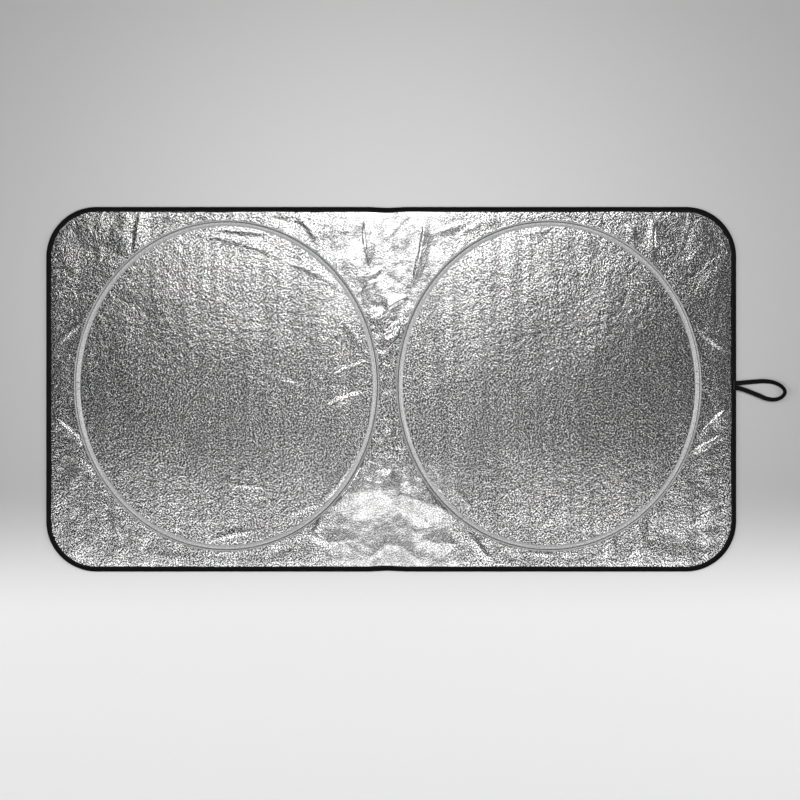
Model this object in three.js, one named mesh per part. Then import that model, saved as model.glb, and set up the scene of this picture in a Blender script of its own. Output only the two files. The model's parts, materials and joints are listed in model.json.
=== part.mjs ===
// Twist-fold windscreen sunshade, lying open with its reflective face up. Millimetres.
// +X runs along the long side towards the elastic loop, +Y across the panel to its top edge, and
// +Z up out of the foil.
// The origin is on the underside of the lining, at the middle of the panel.
import * as THREE from "three";
import { ImprovedNoise } from "three/addons/math/ImprovedNoise.js";

// Panel and its black edge binding
const panelWidth = 1510;
const panelHeight = 798;
const cornerRadius = 110;
const bindingReach = 11;
const bindingTape = 0.7;
const bindingBend = 1.1;
const foldNotchDepth = 2;
const foldNotchHalfWidth = 40;

// Cloth layers
const liningThickness = 0.5;
const foilThickness = 1;
const layerGap = 0.2;
const edgeClearance = 0.5;
const rimRamp = 12;

// Casing tapes: how far each stands off the panel's edges and the other one, and their section
const casingMarginLeft = 60.8;
const casingMarginRight = 76.2;
const casingMarginTop = 28.5;
const casingMarginBottom = 44;
const waistGap = 37.6;
const casingTape = 0.5;
const casingOuterFlange = 3;
const casingInnerFlange = 2.2;
const tunnelClearance = 0.25;
const tunnelFoot = 3;

// Spring-steel hoops
const wireDiameter = 2.5;
const wireEndGap = 1;
const ferruleLength = 24;
const ferruleWall = 0.35;
const ferruleClearance = 0.05;

// Bar tacks, where a tape's ends are sewn down
const tackWidth = 2.4;
const tackHeight = 0.5;

// Elastic loop
const elasticWidth = 10;
const elasticThickness = 1.2;
const loopTail = 9;
const loopLimbPitch = 10.6;
const loopRootOffset = 8;

// Steps round the curves
const hoopSteps = 60;
const wireSides = 6;
const cornerSteps = 6;
const longSteps = 21;
const shortSteps = 16;
const waistSteps = 22;
const loopSteps = 40;

// Relief of the foil: how far a crease fades beside the casings and the binding, and the crumple of
// the loose film
const creaseFade = 16;
const waistCrumple = 5;
const fieldCrumple = 2.4;
const discCrumple = 1.2;
const crumpleReach = 150;
const crumplePitch = 44;

const casingWidth =
  casingOuterFlange + casingInnerFlange + 2 * (tunnelFoot + wireDiameter / 2);
const wireInset = casingOuterFlange + tunnelFoot + wireDiameter / 2;
const hoopHalfWidth =
  (panelWidth - casingMarginLeft - casingMarginRight - waistGap) / 4;
const hoopHalfHeight =
  (panelHeight - casingMarginTop - casingMarginBottom) / 2;
const hoopY = (casingMarginBottom - casingMarginTop) / 2;
const leftHoopX = -panelWidth / 2 + casingMarginLeft + hoopHalfWidth;
const rightHoopX = panelWidth / 2 - casingMarginRight - hoopHalfWidth;
const waistX = (leftHoopX + rightHoopX) / 2;

const rimLift = bindingTape + layerGap;
const foilTop = liningThickness + layerGap + foilThickness;
const casingFoot = foilTop + layerGap;
const ferruleRadius = wireDiameter / 2 + ferruleClearance + ferruleWall;
const wireZ = casingFoot + ferruleRadius;
const tunnelTop = wireZ + ferruleRadius + tunnelClearance;
const bindingTop =
  2 * (bindingTape + layerGap) + liningThickness + layerGap + foilThickness;

// Creases of the foil, each from one point to another, with its height and half width.
// Places are measured from the middle of the left hoop, the right hoop or the waist between them.
const creases = [
  { by: "waist", from: [-202, 372], to: [-149, 297], height: 4, halfWidth: 16 },
  { by: "waist", from: [-51, 378], to: [-38, 250], height: 6, halfWidth: 18 },
  { by: "waist", from: [81, 372], to: [50, 220], height: 7, halfWidth: 20 },
  { by: "waist", from: [58, 235], to: [-10, 160], height: 5, halfWidth: 16 },
  { by: "waist", from: [92, 332], to: [188, 364], height: 4, halfWidth: 15 },
  { by: "waist", from: [150, 330], to: [222, 368], height: 4, halfWidth: 15 },
  { by: "waist", from: [-25, -190], to: [-95, -300], height: 6, halfWidth: 24 },
  { by: "waist", from: [20, -195], to: [105, -330], height: 6, halfWidth: 24 },
  { by: "waist", from: [-20, -290], to: [20, -375], height: 5, halfWidth: 20 },
  { by: "waist", from: [-143, -283], to: [-165, -330], height: 4, halfWidth: 15 },
  { by: "waist", from: [-184, -318], to: [-110, -350], height: 4, halfWidth: 15 },
  { by: "waist", from: [175, -315], to: [228, -385], height: 5, halfWidth: 16 },
  { by: "left", from: [-204, 376], to: [-190, 288], height: 5, halfWidth: 15 },
  { by: "left", from: [-165, 376], to: [-178, 312], height: 4, halfWidth: 14 },
  { by: "left", from: [-375, 90], to: [-305, 148], height: 3, halfWidth: 13 },
  { by: "left", from: [-381, -70], to: [-309, -132], height: 5, halfWidth: 14 },
  { by: "left", from: [-345, -150], to: [-281, -196], height: 4, halfWidth: 13 },
  { by: "left", from: [-262, -275], to: [-225, -345], height: 4, halfWidth: 16 },
  { by: "left", from: [-60, 330], to: [140, 268], height: 3, halfWidth: 20 },
  { by: "left", from: [120, 274], to: [268, 200], height: 4, halfWidth: 18 },
  { by: "left", from: [45, 46], to: [206, -12], height: 3, halfWidth: 16 },
  { by: "left", from: [200, -58], to: [318, -14], height: 5, halfWidth: 20 },
  { by: "left", from: [215, 12], to: [310, 54], height: 3, halfWidth: 15 },
  { by: "left", from: [110, -290], to: [222, -252], height: 3, halfWidth: 16 },
  { by: "right", from: [229, 376], to: [232, 268], height: 5, halfWidth: 14 },
  { by: "right", from: [168, 356], to: [190, 318], height: 3, halfWidth: 13 },
  { by: "right", from: [326, 126], to: [389, 78], height: 4, halfWidth: 13 },
  { by: "right", from: [335, -103], to: [396, -46], height: 5, halfWidth: 14 },
  { by: "right", from: [312, -147], to: [378, -110], height: 4, halfWidth: 13 },
  { by: "right", from: [300, -309], to: [388, -262], height: 4, halfWidth: 16 },
  { by: "right", from: [220, -282], to: [175, -380], height: 5, halfWidth: 16 },
  { by: "right", from: [154, -332], to: [104, -378], height: 4, halfWidth: 14 },
];

const foilMaterial = finish("#c9cbcd", 0.32, 1);
const liningMaterial = finish("#a7a9ac", 0.6, 0.3);
const casingMaterial = finish("#bfc1c4", 0.38, 0.8);
const bindingMaterial = finish("#16161a", 0.85, 0);
const steelMaterial = finish("#8f9296", 0.35, 1);
const elasticMaterial = finish("#111114", 0.9, 0);
const threadMaterial = finish("#1b1b1e", 0.8, 0);
const silverThreadMaterial = finish("#a9abae", 0.7, 0);

function finish(color, roughness, metalness) {
  return new THREE.MeshStandardMaterial({ color, roughness, metalness });
}

// The panel's outline at a distance in from its edge, anticlockwise from the waist at the bottom,
// with the same number of points whatever the distance. The edge dips a little where the shade folds in half.
function panelOutline(inset) {
  const halfWidth = panelWidth / 2 - inset;
  const halfHeight = panelHeight / 2 - inset;
  const radius = Math.max(cornerRadius - inset, 1);
  const corner = new THREE.EllipseCurve(0, 0, radius, radius, 0, Math.PI / 2);
  const quarter = corner.getPoints(cornerSteps);
  const points = [];
  const straight = (from, to, steps) => {
    for (let i = 0; i < steps; i++) {
      points.push(from.clone().lerp(to, i / steps));
    }
  };
  const turn = (signX, signY, reversed) => {
    const centre = [halfWidth - radius, halfHeight - radius];
    const arc = reversed ? [...quarter].reverse() : quarter;
    for (const p of arc.slice(0, -1)) {
      points.push(
        new THREE.Vector2(signX * (centre[0] + p.x), signY * (centre[1] + p.y)),
      );
    }
  };
  const at = (x, y) => new THREE.Vector2(x, y);
  const flatX = halfWidth - radius;
  const flatY = halfHeight - radius;
  straight(at(waistX, -halfHeight), at(flatX, -halfHeight), longSteps);
  turn(1, -1, true);
  straight(at(halfWidth, -flatY), at(halfWidth, flatY), shortSteps);
  turn(1, 1, false);
  straight(at(flatX, halfHeight), at(waistX, halfHeight), longSteps);
  straight(at(waistX, halfHeight), at(-flatX, halfHeight), longSteps);
  turn(-1, 1, true);
  straight(at(-halfWidth, flatY), at(-halfWidth, -flatY), shortSteps);
  turn(-1, -1, false);
  straight(at(-flatX, -halfHeight), at(waistX, -halfHeight), longSteps);
  for (const p of points) {
    p.y -= Math.sign(p.y) * foldNotch(p);
  }
  return points;
}

function foldNotch(point) {
  const share = Math.abs(point.x - waistX) / foldNotchHalfWidth;
  const onLongEdge = Math.abs(point.y) > panelHeight / 2 - cornerRadius;
  return onLongEdge ? foldNotchDepth * Math.max(0, 1 - share) : 0;
}

// Collects a surface triangle by triangle; coincident corners are welded when the mesh is built.
function surface() {
  const corners = [];
  const triangle = (a, b, c) => corners.push(a, b, c);
  const quad = (a, b, c, d) => {
    triangle(a, b, c);
    triangle(a, c, d);
  };
  // The wall between two closed rings of corners, facing out when both run clockwise seen from the first.
  const band = (here, next) => {
    here.forEach((corner, k) => {
      const j = (k + 1) % here.length;
      quad(corner, next[k], next[j], here[j]);
    });
  };
  const mesh = (name, material) => {
    const geometry = new THREE.BufferGeometry().setFromPoints(corners);
    geometry.computeVertexNormals();
    const made = new THREE.Mesh(geometry, material);
    made.name = name;
    return made;
  };
  return { triangle, quad, band, mesh };
}

// A sheet of cloth: flat cells raised to an underside and a top face, with a wall round its outline.
function clothSheet(name, material, cells, outline, underside, thickness) {
  const skin = surface();
  const low = (p) => new THREE.Vector3(p.x, p.y, underside(p));
  const high = (p) => new THREE.Vector3(p.x, p.y, underside(p) + thickness);
  for (const [a, b, c] of cells) {
    skin.triangle(high(a), high(b), high(c));
    skin.triangle(low(a), low(c), low(b));
  }
  outline.forEach((p, i) => {
    const next = outline[(i + 1) % outline.length];
    skin.quad(low(p), low(next), high(next), high(p));
  });
  return skin.mesh(name, material);
}

// Flat cells between two outlines that have the same number of points.
function cellsBetween(outer, inner) {
  const cells = [];
  outer.forEach((p, i) => {
    const j = (i + 1) % outer.length;
    cells.push([p, outer[j], inner[j]], [p, inner[j], inner[i]]);
  });
  return cells;
}

function rimOutlines() {
  const edge = bindingTape + edgeClearance;
  const legEnd = bindingReach + 1;
  return [edge, legEnd, legEnd + rimRamp].map(panelOutline);
}

// The cloth lies flat inside the rim, and on the binding's lower leg at it.
function rimRise(p) {
  const inset = rimInset(p);
  const legEnd = bindingReach + 1;
  const share = (legEnd + rimRamp - inset) / rimRamp;
  return rimLift * THREE.MathUtils.clamp(share, 0, 1);
}

// How far a point lies in from the panel's edge.
function rimInset(p) {
  const radius = cornerRadius;
  const x = Math.abs(p.x) - (panelWidth / 2 - radius);
  const y = Math.abs(p.y) + foldNotch(p) - (panelHeight / 2 - radius);
  const outside = Math.hypot(Math.max(x, 0), Math.max(y, 0));
  return radius - (outside + Math.min(Math.max(x, y), 0));
}

// A point's distance from a hoop's casing, negative where it lies inside the casing's ring.
function casingDistance(p, hoopX) {
  const u = (p.x - hoopX) / hoopHalfWidth;
  const v = (p.y - hoopY) / hoopHalfHeight;
  const middle = (hoopHalfWidth + hoopHalfHeight) / 2;
  return (Math.hypot(u, v) - 1) * middle;
}

// 0 on and beside the casings and the binding, 1 where the foil is loose.
function looseness(p) {
  const beside = [leftHoopX, rightHoopX].map((x) => {
    const d = casingDistance(p, x);
    return d > 0 ? d : -casingWidth - d;
  });
  const rim = rimInset(p) - bindingReach - rimRamp;
  const nearest = Math.min(...beside, rim);
  return THREE.MathUtils.smoothstep(nearest, 1, creaseFade);
}

function creaseOrigin(by) {
  const x = { left: leftHoopX, right: rightHoopX, waist: waistX }[by];
  return new THREE.Vector2(x, hoopY);
}

// The height of one crease at a point: a ridge that runs out at both of its ends.
function creaseHeight(crease, p) {
  const origin = creaseOrigin(crease.by);
  const from = new THREE.Vector2(...crease.from).add(origin);
  const along = new THREE.Vector2(...crease.to).add(origin).sub(from);
  const offset = p.clone().sub(from);
  const share = offset.dot(along) / along.lengthSq();
  const across = Math.abs(offset.cross(along)) / along.length();
  const taper = Math.sin(Math.PI * THREE.MathUtils.clamp(share, 0, 1));
  return crease.height * Math.max(0, 1 - across / crease.halfWidth) * taper;
}

// The film's own crumple, from 0 to 1: sharp crests where the noise passes through nought.
const noise = new ImprovedNoise();

function crumple(p) {
  const u = p.x / crumplePitch;
  const v = p.y / crumplePitch;
  const broad = 1 - Math.abs(noise.noise(u, v, 0.5));
  const fine = 1 - Math.abs(noise.noise(2 * u, 2 * v, 3.5));
  return (2 * broad + fine) / 3;
}

function foilRelief(p) {
  const nearWaist = Math.max(0, 1 - Math.abs(p.x - waistX) / crumpleReach);
  const insideHoop = [leftHoopX, rightHoopX].some(
    (x) => casingDistance(p, x) < 0,
  );
  const loose = THREE.MathUtils.lerp(fieldCrumple, waistCrumple, nearWaist);
  const height = crumple(p) * (insideHoop ? discCrumple : loose);
  const ridges = creases.map((crease) => creaseHeight(crease, p));
  return looseness(p) * (height + Math.max(...ridges));
}

function backLining() {
  const [edge, leg, field] = rimOutlines();
  const faces = THREE.ShapeUtils.triangulateShape(field, []);
  const middle = faces.map((face) => face.map((i) => field[i]));
  const cells = [...cellsBetween(edge, leg), ...cellsBetween(leg, field)];
  return clothSheet(
    "back_lining",
    liningMaterial,
    [...cells, ...middle],
    edge,
    rimRise,
    liningThickness,
  );
}

// Half of the foil inside the rim: a grid inside the casing, then rays from it to the rim and to the
// line between the halves.
function foilHalf(field, side) {
  const centre = new THREE.Vector2(side > 0 ? rightHoopX : leftHoopX, hoopY);
  const half = field.length / 2;
  const arc = side > 0 ? field.slice(0, half + 1) : field.slice(half);
  const bottom = field[0];
  const top = field[half];
  const rim = side > 0 ? [...arc] : [...arc, bottom];
  const seamFrom = side > 0 ? top : bottom;
  const seamTo = side > 0 ? bottom : top;
  for (let i = 1; i < waistSteps; i++) {
    rim.push(seamPoint(seamFrom, seamTo, i / waistSteps));
  }
  const outsideShares = [0.17, 0.38, 0.62, 0.82];
  const atRing = (q, inset) => ringShare(centre, q, inset);
  const row = (share) => rim.map((q) => centre.clone().lerp(q, share(q)));
  const rows = [row((q) => atRing(q, casingWidth)), row((q) => atRing(q, 0))];
  for (const share of outsideShares) {
    rows.push(row((q) => atRing(q, 0) + (1 - atRing(q, 0)) * share));
  }
  rows.push(rim);
  const cells = discCells(rows[0]);
  for (let k = 1; k < rows.length; k++) {
    cells.push(...cellsBetween(rows[k], rows[k - 1]));
  }
  return cells;
}

// A four-sided grid drawn over a disc, on an even number of points round its edge.
function discCells(edge) {
  const across = Math.floor(edge.length / 4);
  const up = edge.length / 2 - across;
  const corners = [0, across, across + up, 2 * across + up].map((i) => edge[i]);
  const place = (i, j) => {
    const low = edge[i];
    const right = edge[across + j];
    const high = edge[2 * across + up - i];
    const left = edge[(edge.length - j) % edge.length];
    if (j === 0) return low;
    if (i === across) return right;
    if (j === up) return high;
    if (i === 0) return left;
    const u = i / across;
    const v = j / up;
    const p = low.clone().lerp(high, v);
    p.add(left.clone().lerp(right, u));
    const lowCorners = corners[0].clone().lerp(corners[1], u);
    const highCorners = corners[3].clone().lerp(corners[2], u);
    return p.sub(lowCorners.lerp(highCorners, v));
  };
  const cells = [];
  for (let i = 0; i < across; i++) {
    for (let j = 0; j < up; j++) {
      const a = place(i, j);
      const c = place(i + 1, j + 1);
      cells.push([a, place(i + 1, j), c], [a, c, place(i, j + 1)]);
    }
  }
  return cells;
}

// A point of the line between the halves. Both halves count it from the bottom, so that they share
// it exactly.
function seamPoint(from, to, share) {
  const upward = to.y > from.y;
  const low = upward ? from : to;
  const high = upward ? to : from;
  const rise = upward ? share : 1 - share;
  return new THREE.Vector2(waistX, low.y + (high.y - low.y) * rise);
}

// Where a ray from the hoop's middle meets the casing's ring, set in from its outer edge, as a share
// of the ray.
function ringShare(centre, end, inset) {
  const u = (end.x - centre.x) / (hoopHalfWidth - inset);
  const v = (end.y - centre.y) / (hoopHalfHeight - inset);
  return 1 / Math.hypot(u, v);
}

function frontFoil() {
  const [edge, leg, field] = rimOutlines();
  const cells = [
    ...cellsBetween(edge, leg),
    ...cellsBetween(leg, field),
    ...foilHalf(field, 1),
    ...foilHalf(field, -1),
  ];
  const rest = liningThickness + layerGap;
  const underside = (p) => rest + rimRise(p) + foilRelief(p);
  return clothSheet(
    "front_foil",
    foilMaterial,
    cells,
    edge,
    underside,
    foilThickness,
  );
}

// Stations round a hoop, each with its middle and its outward direction, set in from the casing's outer edge.
// They start at the joint, which is the hoop's outermost point, and a gap leaves the two ends apart.
function hoopStations(side, inset, endGap) {
  const hoopX = side > 0 ? rightHoopX : leftHoopX;
  const start = side > 0 ? 0 : Math.PI;
  const gapAngle = endGap / hoopHalfHeight;
  const stations = [];
  const count = endGap > 0 ? hoopSteps + 1 : hoopSteps;
  for (let i = 0; i < count; i++) {
    const sweep = gapAngle + (i / hoopSteps) * 2 * (Math.PI - gapAngle);
    const angle = start + (endGap > 0 ? sweep : (i / hoopSteps) * 2 * Math.PI);
    const outward = new THREE.Vector3(
      Math.cos(angle) / hoopHalfWidth,
      Math.sin(angle) / hoopHalfHeight,
      0,
    ).normalize();
    const middle = new THREE.Vector3(
      hoopX + hoopHalfWidth * Math.cos(angle),
      hoopY + hoopHalfHeight * Math.sin(angle),
      0,
    ).addScaledVector(outward, -inset);
    stations.push({ middle, outward, upward: new THREE.Vector3(0, 0, 1) });
  }
  return stations;
}

// A section's corner, given outward and up, at a station.
function sectionPoint({ middle, outward, upward }, [out, up]) {
  const point = middle.clone().addScaledVector(outward, out);
  return point.addScaledVector(upward, up);
}

// Sweeps a section, drawn anticlockwise with outward to the right and up upwards, round stations that run
// anticlockwise. A closed sweep joins its last station to its first; an open one gets a cap at each end.
function sweep(name, material, stations, section, closed) {
  const skin = surface();
  const rings = stations.map((station) =>
    section.map((corner) => sectionPoint(station, corner)),
  );
  const last = closed ? rings.length : rings.length - 1;
  for (let i = 0; i < last; i++) {
    skin.band(rings[i], rings[(i + 1) % rings.length]);
  }
  if (!closed) {
    const flat = section.map(([out, up]) => new THREE.Vector2(out, up));
    const first = rings[0];
    const end = rings[rings.length - 1];
    for (const [a, b, c] of THREE.ShapeUtils.triangulateShape(flat, [])) {
      skin.triangle(first[a], first[b], first[c]);
      skin.triangle(end[a], end[c], end[b]);
    }
  }
  return skin.mesh(name, material);
}

function roundSection(radius, sides) {
  const circle = new THREE.EllipseCurve(0, 0, radius, radius, 0, 2 * Math.PI);
  return circle
    .getPoints(sides)
    .slice(0, sides)
    .map((p) => [p.x, p.y]);
}

function hoopWire(name, side) {
  const stations = hoopStations(side, wireInset, wireEndGap / 2);
  for (const station of stations) {
    station.middle.z = wireZ;
  }
  const section = roundSection(wireDiameter / 2, wireSides);
  return sweep(name, steelMaterial, stations, section, false);
}

// The crimped sleeve over the two ends of a hoop: a tube bent once at the joint, as the wire is.
function hoopFerrule(name, side) {
  const stations = hoopStations(side, wireInset, wireEndGap / 2);
  const before = stations[stations.length - 2];
  const joint = hoopStations(side, wireInset, 0)[0];
  const after = stations[1];
  const towards = (station) => {
    const reach = ferruleLength / 2 / station.middle.distanceTo(joint.middle);
    return {
      middle: joint.middle.clone().lerp(station.middle, reach),
      outward: joint.outward.clone().lerp(station.outward, reach).normalize(),
      upward: joint.upward,
    };
  };
  const line = [towards(before), joint, towards(after)];
  for (const station of line) {
    station.middle.z = wireZ;
  }
  const skin = surface();
  const bore = roundSection(ferruleRadius - ferruleWall, wireSides);
  const rind = roundSection(ferruleRadius, wireSides);
  const inner = line.map((s) => bore.map((c) => sectionPoint(s, c)));
  const outer = line.map((s) => rind.map((c) => sectionPoint(s, c)));
  const loop = [...outer, ...inner.reverse()];
  loop.forEach((here, i) => {
    skin.band(here, loop[(i + 1) % loop.length]);
  });
  return skin.mesh(name, steelMaterial);
}

// The tape sewn down over a hoop: a flange each side and a raised tunnel for the wire between them.
function casingTapeRing(name, side) {
  const foot = tunnelFoot + wireDiameter / 2;
  const crown = ferruleRadius + tunnelClearance;
  const low = casingFoot;
  const high = casingFoot + casingTape;
  const section = [
    [foot + casingOuterFlange, low],
    [foot + casingOuterFlange, high],
    [foot, high],
    [crown, tunnelTop + casingTape],
    [-crown, tunnelTop + casingTape],
    [-foot, high],
    [-foot - casingInnerFlange, high],
    [-foot - casingInnerFlange, low],
    [-foot + casingTape, low],
    [-crown, tunnelTop],
    [crown, tunnelTop],
    [foot - casingTape, low],
  ];
  const stations = hoopStations(side, wireInset, 0);
  return sweep(name, casingMaterial, stations, section, true);
}

// The block of thread that closes a casing's joint, on the tunnel beside the two ends of the wire.
function casingTack(name, side) {
  const joint = hoopStations(side, wireInset, 0)[0];
  const outer = tunnelTop + casingTape + layerGap;
  const tack = barTack(name, silverThreadMaterial, tackWidth, 2 * wireDiameter);
  tack.position.set(joint.middle.x, joint.middle.y, outer + tackHeight / 2);
  return tack;
}

function barTack(name, material, across, along) {
  const block = new THREE.BoxGeometry(along, across, tackHeight);
  const made = new THREE.Mesh(block, material);
  made.name = name;
  return made;
}

// The binding tape folded round the edge of both cloths: a leg above, a leg below and a bend outside.
function edgeBinding() {
  const wall = bindingTape;
  const bend = Math.min(bindingBend, bindingTop / 2);
  const section = [
    [-bindingReach, 0],
    [-bend, 0],
    [0, bend],
    [0, bindingTop - bend],
    [-bend, bindingTop],
    [-bindingReach, bindingTop],
    [-bindingReach, bindingTop - wall],
    [-bend, bindingTop - wall],
    [-wall, bindingTop - bend],
    [-wall, bend],
    [-bend, wall],
    [-bindingReach, wall],
  ];
  const stations = panelOutlineSteps();
  return sweep("edge_binding", bindingMaterial, stations, section, true);
}

// Stations along the panel's edge: every point of its corners and of the dip at the fold, and none
// on the straights.
function panelOutlineSteps() {
  const edge = panelOutline(0);
  const inner = panelOutline(1);
  const stations = edge.map((p, i) => ({
    middle: new THREE.Vector3(p.x, p.y, 0),
    outward: new THREE.Vector3(p.x - inner[i].x, p.y - inner[i].y, 0),
    upward: new THREE.Vector3(0, 0, 1),
  }));
  const bends = (i) => {
    const before = edge[(i + edge.length - 1) % edge.length];
    const after = edge[(i + 1) % edge.length];
    const turnBefore = edge[i].clone().sub(before).normalize();
    const turnAfter = after.clone().sub(edge[i]).normalize();
    return Math.abs(turnBefore.cross(turnAfter)) > 1e-6;
  };
  return stations.filter((_, i) => bends(i));
}

// The elastic's middle line from its upper end on the binding, out round the loop and back to its lower end.
// Each place is measured out from the panel's edge and across it, with the height and the tilt of
// the tape there.
function loopLine() {
  const onBinding = bindingTop + layerGap + elasticThickness / 2;
  const upper = loopRootOffset + loopLimbPitch / 2;
  const lower = loopRootOffset - loopLimbPitch / 2;
  const places = [
    [-loopTail, upper, onBinding, 0],
    [3, upper, onBinding, 0],
    [34, 16, 2.6, 6],
    [62, 17.5, 2.8, 18],
    [84, 14, 3.9, 38],
    [101, 4, 4.7, 50],
    [106, -6, 4.8, 52],
    [101, -15.5, 4.7, 50],
    [88, -22, 4.2, 40],
    [70, -21.5, 2.9, 18],
    [48, -13, 2.6, 6],
    [24, -3.5, 3.4, 0],
    [3, lower, onBinding, 0],
    [-loopTail, lower, onBinding, 0],
  ];
  const edgeX = panelWidth / 2;
  const line = new THREE.CatmullRomCurve3(
    places.map(([out, y, z]) => new THREE.Vector3(edgeX + out, y, z)),
    false,
    "centripetal",
  );
  const tilts = places.map((place) => THREE.MathUtils.degToRad(place[3]));
  return { line, tilts };
}

function elasticLoop() {
  const { line, tilts } = loopLine();
  const stations = [];
  for (let i = 0; i <= loopSteps; i++) {
    const share = i / loopSteps;
    const reach = share * (tilts.length - 1);
    const k = Math.min(Math.floor(reach), tilts.length - 2);
    const tilt = THREE.MathUtils.lerp(tilts[k], tilts[k + 1], reach - k);
    const tangent = line.getTangent(share);
    const outward = new THREE.Vector3(-tangent.y, tangent.x, 0)
      .setLength(Math.cos(tilt))
      .add(new THREE.Vector3(0, 0, Math.sin(tilt)));
    const upward = new THREE.Vector3().crossVectors(outward, tangent);
    upward.normalize();
    stations.push({ middle: line.getPoint(share), outward, upward });
  }
  const w = elasticWidth / 2;
  const t = elasticThickness / 2;
  const section = [
    [w, -t],
    [w, t],
    [-w, t],
    [-w, -t],
  ];
  return sweep("elastic_loop", elasticMaterial, stations, section, false);
}

function loopTack() {
  const across = loopLimbPitch + elasticWidth;
  const tack = barTack("loop_bar_tack", threadMaterial, across, tackWidth);
  const onElastic = bindingTop + 2 * layerGap + elasticThickness;
  const middle = panelWidth / 2 - bindingReach / 2;
  tack.position.set(middle, loopRootOffset, onElastic + tackHeight / 2);
  return tack;
}

const sunshade = new THREE.Group();
sunshade.name = "windscreen_sunshade";
sunshade.add(
  backLining(),
  frontFoil(),
  hoopWire("left_hoop", -1),
  hoopWire("right_hoop", 1),
  hoopFerrule("left_hoop_ferrule", -1),
  hoopFerrule("right_hoop_ferrule", 1),
  casingTapeRing("left_casing_tape", -1),
  casingTapeRing("right_casing_tape", 1),
  casingTack("left_casing_tack", -1),
  casingTack("right_casing_tack", 1),
  edgeBinding(),
  elasticLoop(),
  loopTack(),
);

export default sunshade;
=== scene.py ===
"""Windscreen sunshade: the looks of the twist-fold foil shade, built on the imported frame.

Everything is in metres in the part's own frame. The origin is under the middle of the panel, +X runs
along the long side towards the elastic loop, and +Z stands up out of the reflective face.
"""

import json
import logging
import math
from dataclasses import dataclass
from enum import Enum
from typing import Any, Callable, Sequence

import bpy
import numpy as np
from bpy.types import Node, NodeSocket, NodeTree
from mathutils import Matrix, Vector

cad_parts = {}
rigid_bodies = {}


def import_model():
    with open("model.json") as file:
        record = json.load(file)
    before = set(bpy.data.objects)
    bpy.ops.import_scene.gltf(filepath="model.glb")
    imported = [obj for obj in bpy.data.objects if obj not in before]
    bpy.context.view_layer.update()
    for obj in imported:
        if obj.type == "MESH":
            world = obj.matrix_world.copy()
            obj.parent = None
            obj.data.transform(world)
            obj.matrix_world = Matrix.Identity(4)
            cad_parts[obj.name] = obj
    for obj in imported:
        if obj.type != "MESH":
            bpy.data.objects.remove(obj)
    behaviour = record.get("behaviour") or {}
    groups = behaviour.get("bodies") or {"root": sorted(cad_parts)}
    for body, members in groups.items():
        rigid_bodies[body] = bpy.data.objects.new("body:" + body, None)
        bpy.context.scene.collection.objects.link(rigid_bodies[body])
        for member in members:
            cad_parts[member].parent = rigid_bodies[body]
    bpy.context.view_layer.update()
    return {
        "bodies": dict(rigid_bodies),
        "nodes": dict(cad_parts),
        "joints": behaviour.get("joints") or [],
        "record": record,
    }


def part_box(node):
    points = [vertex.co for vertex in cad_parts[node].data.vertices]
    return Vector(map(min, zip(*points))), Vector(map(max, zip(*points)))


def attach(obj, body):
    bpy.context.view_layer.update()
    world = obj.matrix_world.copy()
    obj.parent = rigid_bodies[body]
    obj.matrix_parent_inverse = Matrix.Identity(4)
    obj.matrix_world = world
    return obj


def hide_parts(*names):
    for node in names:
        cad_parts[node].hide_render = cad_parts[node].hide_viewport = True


MM = 0.001
LOG = logging.getLogger("sunshade")


# Colour and node helpers


def linear(hex_colour: str) -> tuple[float, float, float, float]:
    """Turns an sRGB hex colour into linear RGBA.

    Args:
        hex_colour: Six hex digits, with or without a leading #.

    Returns:
        Linear red, green and blue, with an alpha of 1.
    """
    digits = hex_colour.lstrip("#")
    channels = []
    for start in (0, 2, 4):
        value = int(digits[start : start + 2], 16) / 255
        channels.append(value / 12.92 if value <= 0.04045 else ((value + 0.055) / 1.055) ** 2.4)
    return (channels[0], channels[1], channels[2], 1.0)


def per_metre(size_mm: float) -> float:
    """Texture scale that repeats a pattern once every size_mm."""
    return 1000.0 / size_mm


def ridge_scale(width_mm: float) -> float:
    """Wave scale that makes each ridge, and the groove beside it, width_mm wide."""
    # The wave texture turns by 20 radians for each unit of place
    return per_metre(width_mm) / 20.0 * math.pi


def add_node(
    tree: NodeTree,
    kind: str,
    inputs: dict[str | int, Any] | None = None,
    **settings: Any,
) -> Node:
    """Adds one node with its settings and its links.

    Args:
        tree: The node tree that takes it.
        kind: Blender's type name of the node.
        inputs: Socket name or number to a value, to the output socket that feeds it, or to a node
            whose first output does.
        settings: Properties of the node itself.

    Returns:
        The new node.
    """
    node = tree.nodes.new(kind)
    for name, value in settings.items():
        setattr(node, name, value)
    for name, value in (inputs or {}).items():
        source = value.outputs[0] if isinstance(value, Node) else value
        if isinstance(source, NodeSocket):
            tree.links.new(source, node.inputs[name])
        else:
            node.inputs[name].default_value = source
    return node


class Coordinates(Enum):
    """Where a finish's pattern is measured."""

    PLACE = "Object"
    ALONG_PIECE = "UV"


@dataclass(frozen=True)
class Finish:
    """A surface finish: what every one of them shares.

    Attributes:
        title: The material's name.
    """

    title: str = "finish"

    def build(self) -> bpy.types.Material:
        """Makes the material.

        Returns:
            The finished node material.
        """
        material = bpy.data.materials.new(self.title)
        material.use_nodes = True
        tree = material.node_tree
        tree.nodes.clear()
        add_node(tree, "ShaderNodeOutputMaterial", {"Surface": self.surface(tree)})
        return material

    def surface(self, tree: NodeTree) -> Node:
        """Builds the shader; each finish has its own."""
        raise NotImplementedError

    def place(self, tree: NodeTree, source: Coordinates) -> NodeSocket:
        """Gives the coordinates that the finish's patterns are drawn in, in metres."""
        return add_node(tree, "ShaderNodeTexCoord").outputs[source.value]


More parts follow.
